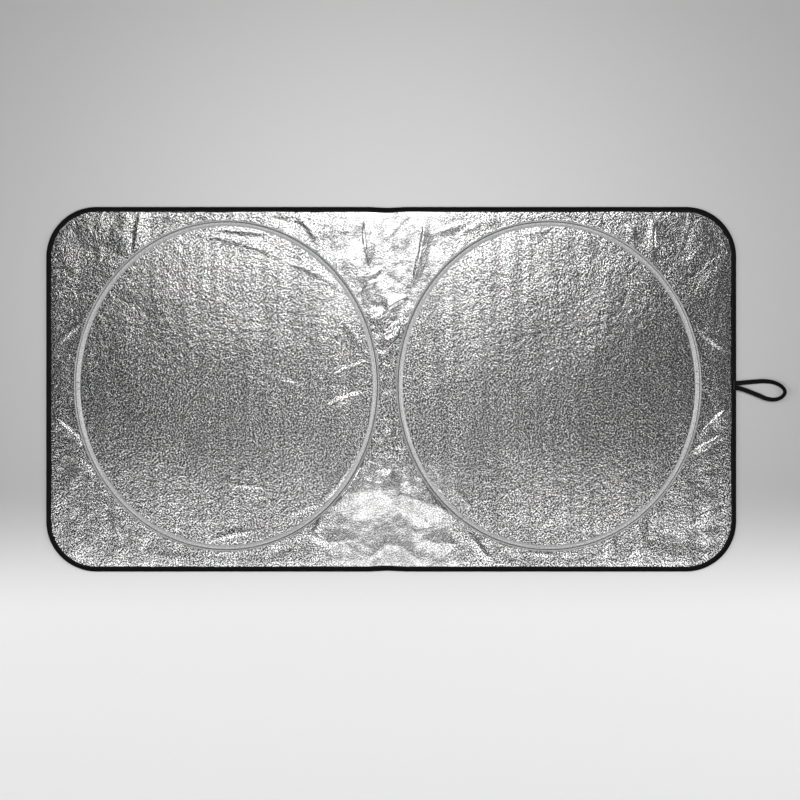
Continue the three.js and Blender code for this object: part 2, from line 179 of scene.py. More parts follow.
@dataclass(frozen=True)
class MetallisedFilm(Finish):
    """Aluminium-metallised polyester film, pressed with a fine pebble and laminated to foam.

    The vapour-deposited metal mirrors its surroundings, and the pressed pebble breaks the mirror into
    little facets. Their light and shade is also painted into the colour: the flanks darker as painted
    shade, the crests lighter as a painted highlight. Rolling leaves faint streaks along the web, which
    runs across the panel.

    Attributes:
        painted_shade_and_glint: Colour levels of the pebble's flanks, painted darker as shade, and of its
            crests, painted lighter as a highlight.
        drawn_painted_shade_and_glint: The same painted shade and highlight levels above and below the
            middle of the fold, where the film is drawn smooth.
        drawn_beside: How far to the side of the fold that ends, and from where it is full, in metres.
        drawn_beyond: How far along the fold it starts, and from where it is full, in metres.
        pebble_mm: Width of the pressed pebble. The real one is finer; this is what the render can show.
        stretch: How many times longer than wide the pebble is.
        lean: Angle at which the pebble's rows run.
        dent_mm: Pitch of the soft dents that the foam leaves.
        streak_mm: Pitch of the streaks left by rolling, and their length.
    """

    title: str = "embossed_metallised_film"
    painted_shade_and_glint: tuple[float, float] = (0.06, 0.90)
    drawn_painted_shade_and_glint: tuple[float, float] = (0.42, 0.70)
    drawn_beside: tuple[float, float] = (0.20, 0.06)
    drawn_beyond: tuple[float, float] = (0.13, 0.21)
    pebble_mm: float = 2.7
    stretch: float = 1.3
    lean: float = math.radians(-46.0)
    dent_mm: float = 14.0
    streak_mm: tuple[float, float] = (24.0, 300.0)

    def surface(self, tree: NodeTree) -> Node:
        """Builds the film: glittering pebble, with painted shade and highlight in its colour, over soft
        dents and streaks.

        Args:
            tree: The material's nodes.

        Returns:
            The shader.
        """
        spot = self.place(tree, Coordinates.PLACE)
        pebble_size = (self.pebble_mm * self.stretch * MM, self.pebble_mm * MM, 1.0)
        rows = add_node(
            tree,
            "ShaderNodeMapping",
            {"Vector": spot, "Rotation": (0.0, 0.0, self.lean), "Scale": pebble_size},
            vector_type="TEXTURE",
        )
        pebble = add_node(
            tree,
            "ShaderNodeTexNoise",
            {"Vector": rows, "Scale": 1.0, "Detail": 1.5, "Roughness": 0.6},
            noise_dimensions="2D",
        )
        dents = add_node(
            tree,
            "ShaderNodeTexNoise",
            {"Vector": spot, "Scale": per_metre(self.dent_mm), "Detail": 2.0},
            noise_dimensions="2D",
        )
        pitch, length = self.streak_mm
        drawn = add_node(
            tree,
            "ShaderNodeMapping",
            {"Vector": spot, "Scale": (per_metre(pitch), per_metre(length), 1.0)},
        )
        streaks = add_node(
            tree,
            "ShaderNodeTexNoise",
            {"Vector": drawn, "Scale": 1.0, "Detail": 1.0},
            noise_dimensions="2D",
        )
        # Painted shade and highlight: the colour runs from darker on the pebble's flanks to lighter on its
        # crests.
        painted_shade_level, painted_glint_level = self.painted_shade_and_glint_range(tree, spot)
        shade = add_node(
            tree,
            "ShaderNodeMapRange",
            {"Value": pebble, "From Min": 0.43, "From Max": 0.57, "To Min": painted_shade_level, "To Max": painted_glint_level},
        )
        web = add_node(
            tree,
            "ShaderNodeMapRange",
            {"Value": streaks, "From Min": 0.3, "From Max": 0.7, "To Min": 0.79, "To Max": 1.14},
        )
        level = add_node(
            tree,
            "ShaderNodeMath",
            {0: shade, 1: web},
            operation="MULTIPLY",
            use_clamp=True,
        )
        colour = add_node(tree, "ShaderNodeCombineColor", {axis: level for axis in range(3)})
        gloss = add_node(
            tree,
            "ShaderNodeMapRange",
            {"Value": streaks, "From Min": 0.3, "From Max": 0.7, "To Min": 0.25, "To Max": 0.21},
        )
        dented = add_node(tree, "ShaderNodeBump", {"Height": dents, "Strength": 0.5, "Distance": 1.3 * MM})
        pebbled = add_node(
            tree,
            "ShaderNodeBump",
            {"Height": pebble, "Strength": 0.6, "Distance": 0.56 * MM, "Normal": dented},
        )
        return add_node(
            tree,
            "ShaderNodeBsdfPrincipled",
            {"Base Color": colour, "Metallic": 1.0, "Roughness": gloss, "Normal": pebbled},
        )

    def painted_shade_and_glint_range(self, tree: NodeTree, spot: NodeSocket) -> tuple[Node, Node]:
        """Finds the painted shade of the pebble's flanks and the painted highlight of its crests at each
        place.

        Args:
            tree: The material's nodes.
            spot: The place on the panel.

        Returns:
            The painted shade and highlight levels, which lie closer together above and below the middle of
            the fold.
        """
        axes = add_node(tree, "ShaderNodeSeparateXYZ", {0: spot})
        shares = []
        for axis, (start, full) in enumerate((self.drawn_beside, self.drawn_beyond)):
            away = add_node(tree, "ShaderNodeMath", {0: axes.outputs[axis]}, operation="ABSOLUTE")
            share = add_node(
                tree,
                "ShaderNodeMapRange",
                {"Value": away, "From Min": start, "From Max": full},
                interpolation_type="SMOOTHSTEP",
            )
            shares.append(share)
        drawn = add_node(tree, "ShaderNodeMath", {0: shares[0], 1: shares[1]}, operation="MULTIPLY")
        painted_shade_level, painted_glint_level = (
            add_node(tree, "ShaderNodeMapRange", {"Value": drawn, "To Min": loose, "To Max": smooth})
            for loose, smooth in zip(self.painted_shade_and_glint, self.drawn_painted_shade_and_glint)
        )
        return painted_shade_level, painted_glint_level


@dataclass(frozen=True)
class SilverTape(Finish):
    """Silver-coated casing tape, calendered smooth.

    Its light and dark grain is finer and weaker than the film's, so it shows as a satin line beside
    it, with small puckers across it where the seam draws it in.

    Attributes:
        pale: Reflection level of the coating where it is whole.
        worn: Reflection level in the grain between.
        coated: How much of the look is the coating's metal; the rest is matt.
        pucker_mm: Pitch of the puckers along the seam, and their length across it.
        grain_mm: Size of the grain. The real one is finer; this is what the render can show.
    """

    title: str = "calendered_silver_tape"
    pale: float = 0.60
    worn: float = 0.30
    coated: float = 0.30
    pucker_mm: tuple[float, float] = (7.0, 22.0)
    grain_mm: float = 2.6

    def surface(self, tree: NodeTree) -> Node:
        """Builds the tape: grained satin with puckers across it.

        Args:
            tree: The material's nodes.

        Returns:
            The shader.
        """
        along = self.place(tree, Coordinates.ALONG_PIECE)
        pitch, length = self.pucker_mm
        drawn = add_node(
            tree,
            "ShaderNodeMapping",
            {"Vector": along, "Scale": (per_metre(pitch), per_metre(length), 1.0)},
        )
        puckers = add_node(
            tree,
            "ShaderNodeTexNoise",
            {"Vector": drawn, "Scale": 1.0, "Detail": 3.0},
            noise_dimensions="2D",
        )
        bump = add_node(tree, "ShaderNodeBump", {"Height": puckers, "Strength": 0.8, "Distance": 1.0 * MM})
        grain = add_node(
            tree,
            "ShaderNodeTexNoise",
            {"Vector": along, "Scale": per_metre(self.grain_mm), "Detail": 1.0},
            noise_dimensions="2D",
        )
        level = add_node(
            tree,
            "ShaderNodeMapRange",
            {"Value": grain, "From Min": 0.38, "From Max": 0.62, "To Min": self.worn, "To Max": self.pale},
        )
        colour = add_node(tree, "ShaderNodeCombineColor", {axis: level for axis in range(3)})
        return add_node(
            tree,
            "ShaderNodeBsdfPrincipled",
            {"Base Color": colour, "Metallic": self.coated, "Roughness": 0.42, "Normal": bump},
        )


@dataclass(frozen=True)
class WovenCloth(Finish):
    """Plain-woven polyester: two sets of threads that cross.

    Thread over thread gives a fine check of light and shade, and the yarn's fibres a dull sheen.

    Attributes:
        yarn: Colour of the threads.
        thread_mm: Thread spacing. The real weave is finer; it is drawn as coarse as it needs to show.
        slub_mm: Size of the paler and darker patches that uneven yarn leaves.
        metallic: How much of a silver coating is on the threads.
        roughness: How dull the threads are.
        source: Where the weave is measured: in place, or along a tape.
    """

    title: str = "woven_cloth"
    yarn: str = "#A7A9AC"
    thread_mm: float = 1.6
    slub_mm: float = 18.0
    metallic: float = 0.0
    roughness: float = 0.7
    source: Coordinates = Coordinates.PLACE

    def surface(self, tree: NodeTree) -> Node:
        """Builds the weave from two crossing thread waves.

        Args:
            tree: The material's nodes.

        Returns:
            The shader.
        """
        spot = self.place(tree, self.source)
        warp, weft = (
            add_node(
                tree,
                "ShaderNodeTexWave",
                {"Vector": spot, "Scale": ridge_scale(self.thread_mm), "Distortion": 0.4},
                bands_direction=direction,
            )
            for direction in ("X", "Y")
        )
        threads = {0: warp.outputs["Fac"], 1: weft.outputs["Fac"]}
        weave = add_node(tree, "ShaderNodeMath", threads, operation="MULTIPLY")
        slubs = add_node(
            tree,
            "ShaderNodeTexNoise",
            {"Vector": spot, "Scale": per_metre(self.slub_mm), "Detail": 4.0},
            noise_dimensions="2D",
        )
        shade = add_node(tree, "ShaderNodeMapRange", {"Value": slubs, "To Min": 0.82, "To Max": 1.12})
        colour = add_node(
            tree,
            "ShaderNodeVectorMath",
            {0: linear(self.yarn)[:3], "Scale": shade},
            operation="SCALE",
        )
        bump = add_node(tree, "ShaderNodeBump", {"Height": weave, "Strength": 0.6, "Distance": 0.25 * MM})
        return add_node(
            tree,
            "ShaderNodeBsdfPrincipled",
            {
                "Base Color": colour,
                "Metallic": self.metallic,
                "Roughness": self.roughness,
                "Normal": bump,
                "Specular IOR Level": 0.08,
            },
        )


@dataclass(frozen=True)
class RibbedElastic(Finish):
    """Woven elastic: rubber cores under black yarn, which stand up as ribs along the band.

    Attributes:
        yarn: Colour of the covering yarn.
        rib_mm: Width of a rib.
        weft_mm: Width of a step of the weft.
    """

    title: str = "woven_black_elastic"
    yarn: str = "#090909"
    rib_mm: float = 1.25
    weft_mm: float = 0.9

    def surface(self, tree: NodeTree) -> Node:
        """Builds the ribs, with the weft's fine steps across them.

        Args:
            tree: The material's nodes.

        Returns:
            The shader.
        """
        along = self.place(tree, Coordinates.ALONG_PIECE)
        ribs, weft = (
            add_node(
                tree,
                "ShaderNodeTexWave",
                {"Vector": along, "Scale": ridge_scale(width_mm)},
                bands_direction=direction,
            )
            for width_mm, direction in ((self.rib_mm, "Y"), (self.weft_mm, "X"))
        )
        ribbed = add_node(
            tree,
            "ShaderNodeBump",
            {"Height": ribs.outputs["Fac"], "Strength": 0.8, "Distance": 0.35 * MM},
        )
        bump = add_node(
            tree,
            "ShaderNodeBump",
            {"Height": weft.outputs["Fac"], "Strength": 0.4, "Distance": 0.12 * MM, "Normal": ribbed},
        )
        return add_node(
            tree,
            "ShaderNodeBsdfPrincipled",
            {
                "Base Color": linear(self.yarn),
                "Roughness": 0.72,
                "Normal": bump,
                "Specular IOR Level": 0.08,
            },
        )


@dataclass(frozen=True)
class SewingThread(Finish):
    """Twisted polyester sewing thread, whose plies show as slanting lines.

    Attributes:
        yarn: Colour of the thread.
        ply_mm: Width of a ply.
    """

    title: str = "twisted_thread"
    yarn: str = "#1C1C1F"
    ply_mm: float = 0.5

    def surface(self, tree: NodeTree) -> Node:
        """Builds the thread with its twist.

        Args:
            tree: The material's nodes.

        Returns:
            The shader.
        """
        spot = self.place(tree, Coordinates.PLACE)
        twist = add_node(
            tree,
            "ShaderNodeTexWave",
            {"Vector": spot, "Scale": ridge_scale(self.ply_mm)},
            bands_direction="DIAGONAL",
        )
        bump = add_node(
            tree,
            "ShaderNodeBump",
            {"Height": twist.outputs["Fac"], "Strength": 0.5, "Distance": 0.08 * MM},
        )
        return add_node(
            tree,
            "ShaderNodeBsdfPrincipled",
            {"Base Color": linear(self.yarn), "Roughness": 0.62, "Normal": bump},
        )


@dataclass(frozen=True)
class DrawnSteel(Finish):
    """Tempered spring steel, drawn through a die, which leaves brighter and duller places on it.

    Attributes:
        metal: Reflection colour of the steel.
        mark_mm: Size of those places.
    """

    title: str = "drawn_spring_steel"
    metal: str = "#9A9DA1"
    mark_mm: float = 1.2

    def surface(self, tree: NodeTree) -> Node:
        """Builds the steel with its die marks.

        Args:
            tree: The material's nodes.

        Returns:
            The shader.
        """
        spot = self.place(tree, Coordinates.PLACE)
        marks = add_node(
            tree,
            "ShaderNodeTexNoise",
            {"Vector": spot, "Scale": per_metre(self.mark_mm), "Detail": 4.0},
        )
        gloss = add_node(tree, "ShaderNodeMapRange", {"Value": marks, "To Min": 0.28, "To Max": 0.45})
        return add_node(
            tree,
            "ShaderNodeBsdfPrincipled",
            {"Base Color": linear(self.metal), "Metallic": 1.0, "Roughness": gloss},
        )


@dataclass(frozen=True)
class StudioFloor(Finish):
    """Matt painted studio floor, seen from above only, graded from white to pale grey as painted light,
    with a painted pool of light on the backdrop.

    Attributes:
        near: Colour of the paint below the shade in the picture.
        far: Colour of the paint behind it, where the painted pool of light is palest.
        edge: Colour of the painted shade that the backdrop darkens to away from there.
        turn: Where along the floor the near paint ends, and where the far one is full.
        light_pool_centre: The middle of the painted pool of light on the backdrop.
        reach: How far from there it is at its darkest.
        mottle_mm: Size of the patches where the paint is duller.
    """

    title: str = "studio_floor"
    near: str = "#E7E7E7"
    far: str = "#D0D0D0"
    edge: str = "#A0A0A0"
    turn: tuple[float, float] = (-0.50, -0.2)
    light_pool_centre: tuple[float, float, float] = (0.0, 0.25, 0.0)
    reach: float = 1.3
    mottle_mm: float = 600.0

    def surface(self, tree: NodeTree) -> Node:
        """Builds the floor, which lets a look from below pass through it.

        Args:
            tree: The material's nodes.

        Returns:
            The shader.
        """
        spot = self.place(tree, Coordinates.PLACE)
        axes = add_node(tree, "ShaderNodeSeparateXYZ", {0: spot})
        # Painted light: the paint is paler in front of the shade and greyer behind it.
        depth = add_node(
            tree,
            "ShaderNodeMapRange",
            {"Value": axes.outputs[1], "From Min": self.turn[0], "From Max": self.turn[1]},
            interpolation_type="SMOOTHSTEP",
        )
        # Painted pool of light: the backdrop's paint darkens away from its palest place towards the edge
        # colour.
        away = add_node(tree, "ShaderNodeVectorMath", {0: spot, 1: self.light_pool_centre}, operation="DISTANCE")
        painted_pool_falloff = add_node(
            tree,
            "ShaderNodeMapRange",
            {"Value": away.outputs["Value"], "From Min": 0.0, "From Max": self.reach},
            interpolation_type="SMOOTHSTEP",
        )
        backdrop = add_node(
            tree,
            "ShaderNodeMix",
            {0: painted_pool_falloff, 6: linear(self.far), 7: linear(self.edge)},
            data_type="RGBA",
        )
        graded = add_node(
            tree,
            "ShaderNodeMix",
            {0: depth, 6: linear(self.near), 7: backdrop.outputs[2]},
            data_type="RGBA",
        )
        mottle = add_node(
            tree,
            "ShaderNodeTexNoise",
            {"Vector": spot, "Scale": per_metre(self.mottle_mm), "Detail": 2.0},
        )
        dull = add_node(tree, "ShaderNodeMapRange", {"Value": mottle, "To Min": 0.85, "To Max": 0.95})
        paint = add_node(
            tree,
            "ShaderNodeBsdfPrincipled",
            {"Base Color": graded.outputs[2], "Roughness": dull},
        )
        clear = add_node(tree, "ShaderNodeBsdfTransparent")
        side = add_node(tree, "ShaderNodeNewGeometry")
        return add_node(
            tree,
            "ShaderNodeMixShader",
            {0: side.outputs["Backfacing"], 1: paint, 2: clear},
        )


# Mesh helpers


def mesh_object(
    name: str,
    points: np.ndarray,
    faces: Sequence[Sequence[int]] | np.ndarray,
    uv: np.ndarray | None = None,
) -> bpy.types.Object:
    """Makes a smooth-shaded mesh object.

    Args:
        name: The piece's name.
        points: Vertex places, one row each.
        faces: Vertex numbers of each face.
        uv: One texture place for each corner of each face, in order.

    Returns:
        The object, linked to the scene.
    """
    mesh = bpy.data.meshes.new(name)
    face_list = faces.tolist() if isinstance(faces, np.ndarray) else list(faces)
    mesh.from_pydata(points.tolist(), [], face_list)
    mesh.polygons.foreach_set("use_smooth", [True] * len(mesh.polygons))
    if uv is not None:
        layer = mesh.uv_layers.new(name="UVMap")
        layer.data.foreach_set("uv", uv.astype(np.float32).ravel())
    mesh.update()
    piece = bpy.data.objects.new(name, mesh)
    bpy.context.scene.collection.objects.link(piece)
    return piece


def unit(rows: np.ndarray) -> np.ndarray:
    """Scales each row to a length of 1."""
    return rows / np.linalg.norm(rows, axis=1, keepdims=True)


def upright(count: int) -> np.ndarray:
    """Directions straight up, one row each."""
    return np.tile([0.0, 0.0, 1.0], (count, 1))


def sweep(name: str, rings: np.ndarray, closed: bool) -> bpy.types.Object:
    """Skins a row of closed rings, and caps its ends where the row is open.

    Args:
        name: The piece's name.
        rings: Places, as (station, corner, xyz). A ring runs clockwise seen from the first station.
        closed: Whether the last ring joins the first.

    Returns:
        The object, with u along the sweep and v round the ring, in metres.
    """
    count, sides, _ = rings.shape
    last = count if closed else count - 1
    here = np.arange(last)[:, None] * sides + np.arange(sides)[None, :]
    beside = np.arange(last)[:, None] * sides + (np.arange(sides)[None, :] + 1) % sides
    step = np.full((last, 1), sides)
    if closed:
        step[-1] = -(count - 1) * sides
    faces = np.stack([here, here + step, beside + step, beside], axis=-1).reshape(-1, 4)
    middle = rings.mean(axis=1)
    lengths = np.linalg.norm(np.roll(middle, -1, axis=0) - middle, axis=1)
    along = np.concatenate([[0.0], np.cumsum(lengths)])
    girth = np.linalg.norm(np.roll(rings[0], -1, axis=0) - rings[0], axis=1)
    round_it = np.concatenate([[0.0], np.cumsum(girth)])
    u0 = np.repeat(along[:last], sides)
    u1 = np.repeat(along[1 : last + 1], sides)
    v0 = np.tile(round_it[:sides], last)
    v1 = np.tile(round_it[1:], last)
    uv = np.stack(
        [np.stack([u0, v0], 1), np.stack([u1, v0], 1), np.stack([u1, v1], 1), np.stack([u0, v1], 1)],
        axis=1,
    ).reshape(-1, 2)
    face_list = faces.tolist()
    if not closed:
        face_list.append(list(range(sides)))
        face_list.append(list(range(count * sides - 1, (count - 1) * sides - 1, -1)))
        uv = np.concatenate([uv, np.zeros((2 * sides, 2))])
    return mesh_object(name, rings.reshape(-1, 3), face_list, uv)


@dataclass(frozen=True)
class Stations:
    """Places along a curve, each with its two directions across it.

    Attributes:
        middle: Places, one row each.
        outward: Unit directions away from the curve's inside.
        upward: Unit directions out of the cloth.
    """

    middle: np.ndarray
    outward: np.ndarray
    upward: np.ndarray

    def section(self, out_mm: np.ndarray, up_mm: np.ndarray) -> np.ndarray:
        """Places a section's corners at every station.

        Args:
            out_mm: Outward distances, as (station, corner) or (corner,).
            up_mm: Upward distances, likewise.

        Returns:
            Places, as (station, corner, xyz).
        """
        count = len(self.middle)
        out = np.broadcast_to(out_mm, (count, np.shape(out_mm)[-1]))[..., None] * MM
        up = np.broadcast_to(up_mm, (count, np.shape(up_mm)[-1]))[..., None] * MM
        return self.middle[:, None, :] + out * self.outward[:, None, :] + up * self.upward[:, None, :]


class SeededNoise:
    """Repeatable gradient noise over the plane."""

    SIZE = 64

    def __init__(self, seed: int) -> None:
        """Draws the lattice's gradients and heights.

        Args:
            seed: Which noise this is.
        """
        rng = np.random.default_rng(seed)
        angles = rng.uniform(0.0, 2 * math.pi, (self.SIZE, self.SIZE))
        self.gradients = np.stack([np.cos(angles), np.sin(angles)], axis=-1)
        self.heights = rng.uniform(0.0, 1.0, (self.SIZE, self.SIZE))

    def smooth(self, x: np.ndarray, y: np.ndarray) -> np.ndarray:
        """Gradient noise, about -0.7 to 0.7, with one lattice step per unit.

        Args:
            x: Places along the panel.
            y: Places across it.

        Returns:
            The noise.
        """
        i = np.floor(x).astype(int)
        j = np.floor(y).astype(int)
        fx = x - i
        fy = y - j
        total = np.zeros_like(fx)
        ease_x = fx * fx * fx * (fx * (fx * 6 - 15) + 10)
        ease_y = fy * fy * fy * (fy * (fy * 6 - 15) + 10)
        for dx in (0, 1):
            for dy in (0, 1):
                gradient = self.gradients[(i + dx) % self.SIZE, (j + dy) % self.SIZE]
                value = gradient[..., 0] * (fx - dx) + gradient[..., 1] * (fy - dy)
                share_x = ease_x if dx else 1 - ease_x
                share_y = ease_y if dy else 1 - ease_y
                total += value * share_x * share_y
        return total

    def along(self, reach: np.ndarray, row: float = 0.0) -> np.ndarray:
        """The same noise along one row of the lattice."""
        return self.smooth(reach, 0 * reach + row)

    def facets(self, x: np.ndarray, y: np.ndarray) -> np.ndarray:
        """Flat facets that meet in sharp folds, from 0 to 1, with one lattice step per unit.

        Args:
            x: Places along the panel.
            y: Places across it.

        Returns:
            The facets' heights.
        """
        skew = (x + y) * 0.366
        sx = x + skew
        sy = y + skew
        i = np.floor(sx).astype(int)
        j = np.floor(sy).astype(int)
        fx = sx - i
        fy = sy - j

        def height(di: int, dj: int) -> np.ndarray:
            """Height of a lattice corner."""
            return self.heights[(i + di) % self.SIZE, (j + dj) % self.SIZE]

        low = height(0, 0) * (1 - fx) + height(1, 0) * (fx - fy) + height(1, 1) * fy
        high = height(0, 0) * (1 - fy) + height(0, 1) * (fy - fx) + height(1, 1) * fx
        return np.where(fx > fy, low, high)


def smoothstep(value: np.ndarray, start: float, end: float) -> np.ndarray:
    """Eases from 0 at start to 1 at end."""
    share = np.clip((value - start) / (end - start), 0.0, 1.0)
    return share * share * (3 - 2 * share)


# The shade's shape


@dataclass(frozen=True)
class Panel:
    """The panel's outline.

    Attributes:
        width: Long side.
        height: Short side.
        corner: Radius of its corners.
        fold_x: Where the shade folds in half.
        notch: How far the edge dips at the fold.
        notch_half: Half of the dip's length.
    """

    width: float = 1.510
    height: float = 0.798
    corner: float = 0.110
    fold_x: float = -0.0077
    notch: float = 0.002
    notch_half: float = 0.040

    @property
    def cut_area(self) -> float:
        """Flat area of the cut cloth."""
        return self.width * self.height - (4 - math.pi) * self.corner**2

    def dip(self, x: np.ndarray, y: np.ndarray) -> np.ndarray:
        """How far the edge dips beside the fold."""
        share = 1 - np.abs(x - self.fold_x) / self.notch_half
        return np.where(np.abs(y) > self.height / 2 - self.corner, self.notch * np.clip(share, 0, 1), 0.0)

    def inset(self, x: np.ndarray, y: np.ndarray) -> np.ndarray:
        """How far places lie in from the panel's edge.

        Args:
            x: Places along the panel.
            y: Places across it.

        Returns:
            The distances; negative outside the panel.
        """
        qx = np.abs(x) - (self.width / 2 - self.corner)
        qy = np.abs(y) + self.dip(x, y) - (self.height / 2 - self.corner)
        outside = np.hypot(np.maximum(qx, 0), np.maximum(qy, 0))
        return self.corner - (outside + np.minimum(np.maximum(qx, qy), 0))

    def edge(self, pitch: float) -> Stations:
        """Stations round the panel's edge, anticlockwise.

        Args:
            pitch: Distance from one station to the next, about.

        Returns:
            The stations, at the level of the underside.
        """
        half_x = self.width / 2 - self.corner
        half_y = self.height / 2 - self.corner
        quarter = self.corner * math.pi / 2
        runs = [2 * half_x, quarter, 2 * half_y, quarter, 2 * half_x, quarter, 2 * half_y, quarter]
        total = sum(runs)
        count = int(total / pitch)
        places = []
        normals = []
        for k in range(count):
            s = k / count * total
            run = 0
            while s > runs[run]:
                s -= runs[run]
                run += 1
            turn = (run // 2) * math.pi / 2
            facing = -math.pi / 2 + turn
            if run % 2 == 1:
                facing += s / self.corner
            centres = [(half_x, -half_y), (half_x, half_y), (-half_x, half_y), (-half_x, -half_y)]
            corner = centres[run // 2]
            normal = (math.cos(facing), math.sin(facing))
            place = [corner[0] + self.corner * normal[0], corner[1] + self.corner * normal[1]]
            if run % 2 == 0:
                back = runs[run] - s
                place[0] += back * math.sin(facing)
                place[1] -= back * math.cos(facing)
            places.append((place[0], place[1], 0.0))
            normals.append((normal[0], normal[1], 0.0))
        middle = np.array(places)
        dip = self.dip(middle[:, 0], middle[:, 1])
        middle[:, 1] -= np.sign(middle[:, 1]) * dip
        return Stations(middle, np.array(normals), upright(count))


@dataclass(frozen=True)
class Hoop:
    """One hoop's place: the outer edge of its casing tape, an oval.

    Attributes:
        name: left or right.
        centre_x: Middle of the oval.
        centre_y: Middle of the oval.
        half_x: Half of its width.
        half_y: Half of its height.
        wire_in: How far the wire lies in from the casing's outer edge.
        band: Width of the casing.
        joint: Angle of the casing's joint, in radians.
        bars: Angles of the bars of thread across the casing, in degrees.
    """

    name: str
    centre_x: float
    centre_y: float
    half_x: float
    half_y: float
    wire_in: float = 0.00725
    band: float = 0.0137
    joint: float = 0.0
    bars: tuple[float, ...] = ()

    @classmethod
    def from_frame(cls, name: str, joint: float, bars: tuple[float, ...]) -> "Hoop":
        """Reads a hoop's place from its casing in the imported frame.

        Args:
            name: left or right.
            joint: Angle of the casing's joint.
            bars: Angles of the bars of thread across the casing, in degrees.

        Returns:
            The hoop.
        """
        low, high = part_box(f"{name}_casing_tape")
        return cls(
            name=name,
            centre_x=(low[0] + high[0]) / 2,
            centre_y=(low[1] + high[1]) / 2,
            half_x=(high[0] - low[0]) / 2,
            half_y=(high[1] - low[1]) / 2,
            joint=joint,
            bars=bars,
        )

    def beyond(self, x: np.ndarray, y: np.ndarray) -> np.ndarray:
        """How far places lie outside the casing's outer edge; negative inside it.

        Args:
            x: Places along the panel.
            y: Places across it.

        Returns:
            The distances.
        """
        u = (x - self.centre_x) / self.half_x
        v = (y - self.centre_y) / self.half_y
        return (np.hypot(u, v) - 1) * (self.half_x + self.half_y) / 2

    def beside(self, x: np.ndarray, y: np.ndarray) -> np.ndarray:
        """How far places lie from the casing, on either side of it."""
        outside = self.beyond(x, y)
        return np.where(outside > 0, outside, -self.band - outside)

    def stations(self, count: int) -> Stations:
        """Stations round the wire, anticlockwise from the joint, at the level of the underside."""
        return self.at(self.joint + np.arange(count) / count * 2 * math.pi)

    def at(self, angle: np.ndarray) -> Stations:
        """Stations on the wire at given angles, at the level of the underside.

        Args:
            angle: The angles, in radians.

        Returns:
            The stations.
        """
        count = len(angle)
        normal = np.stack([np.cos(angle) / self.half_x, np.sin(angle) / self.half_y, 0 * angle], axis=1)
        outward = unit(normal)
        x = self.centre_x + self.half_x * np.cos(angle)
        y = self.centre_y + self.half_y * np.sin(angle)
        middle = np.stack([x, y, 0 * angle], axis=1) - outward * self.wire_in
        return Stations(middle, outward, upright(count))


class Origin(Enum):
    """What a crease's places are measured from."""

    WAIST = "waist"
    LEFT = "left"
    RIGHT = "right"


@dataclass(frozen=True)
class Crease:
    """A fold of the film that runs out at both ends, in millimetres.

    Attributes:
        origin: What its places are measured from.
        start: Where it starts.
        end: Where it ends.
        height: How high its crest stands.
        left: Reach of its slope on the left of its run.
        right: Reach of its slope on the right of its run.
        bow: How far its middle bows out to the left.
        end_reach: What is left of its slopes' reach at its two ends.
    """

    origin: Origin
    start: tuple[float, float]
    end: tuple[float, float]
    height: float
    left: float
    right: float
    bow: float = 0.0
    end_reach: float = 0.2

    def rise(self, x: np.ndarray, y: np.ndarray) -> np.ndarray:
        """Height of the fold at places measured from its origin, all in millimetres.

        Args:
            x: Places along the panel.
            y: Places across it.

        Returns:
            The heights.
        """
        run_x = self.end[0] - self.start[0]
        run_y = self.end[1] - self.start[1]
        length = math.hypot(run_x, run_y)
        off_x = x - self.start[0]
        off_y = y - self.start[1]
        share = np.clip((off_x * run_x + off_y * run_y) / length**2, 0.0, 1.0)
        swell = np.sin(math.pi * share)
        across = (run_x * off_y - run_y * off_x) / length - self.bow * swell
        taper = self.end_reach + (1 - self.end_reach) * swell
        reach = np.where(across > 0, self.left, self.right) * taper
        slope = np.clip(1 - np.abs(across) / reach, 0.0, 1.0)
        return self.height * slope * swell


W, L, R = Origin.WAIST, Origin.LEFT, Origin.RIGHT

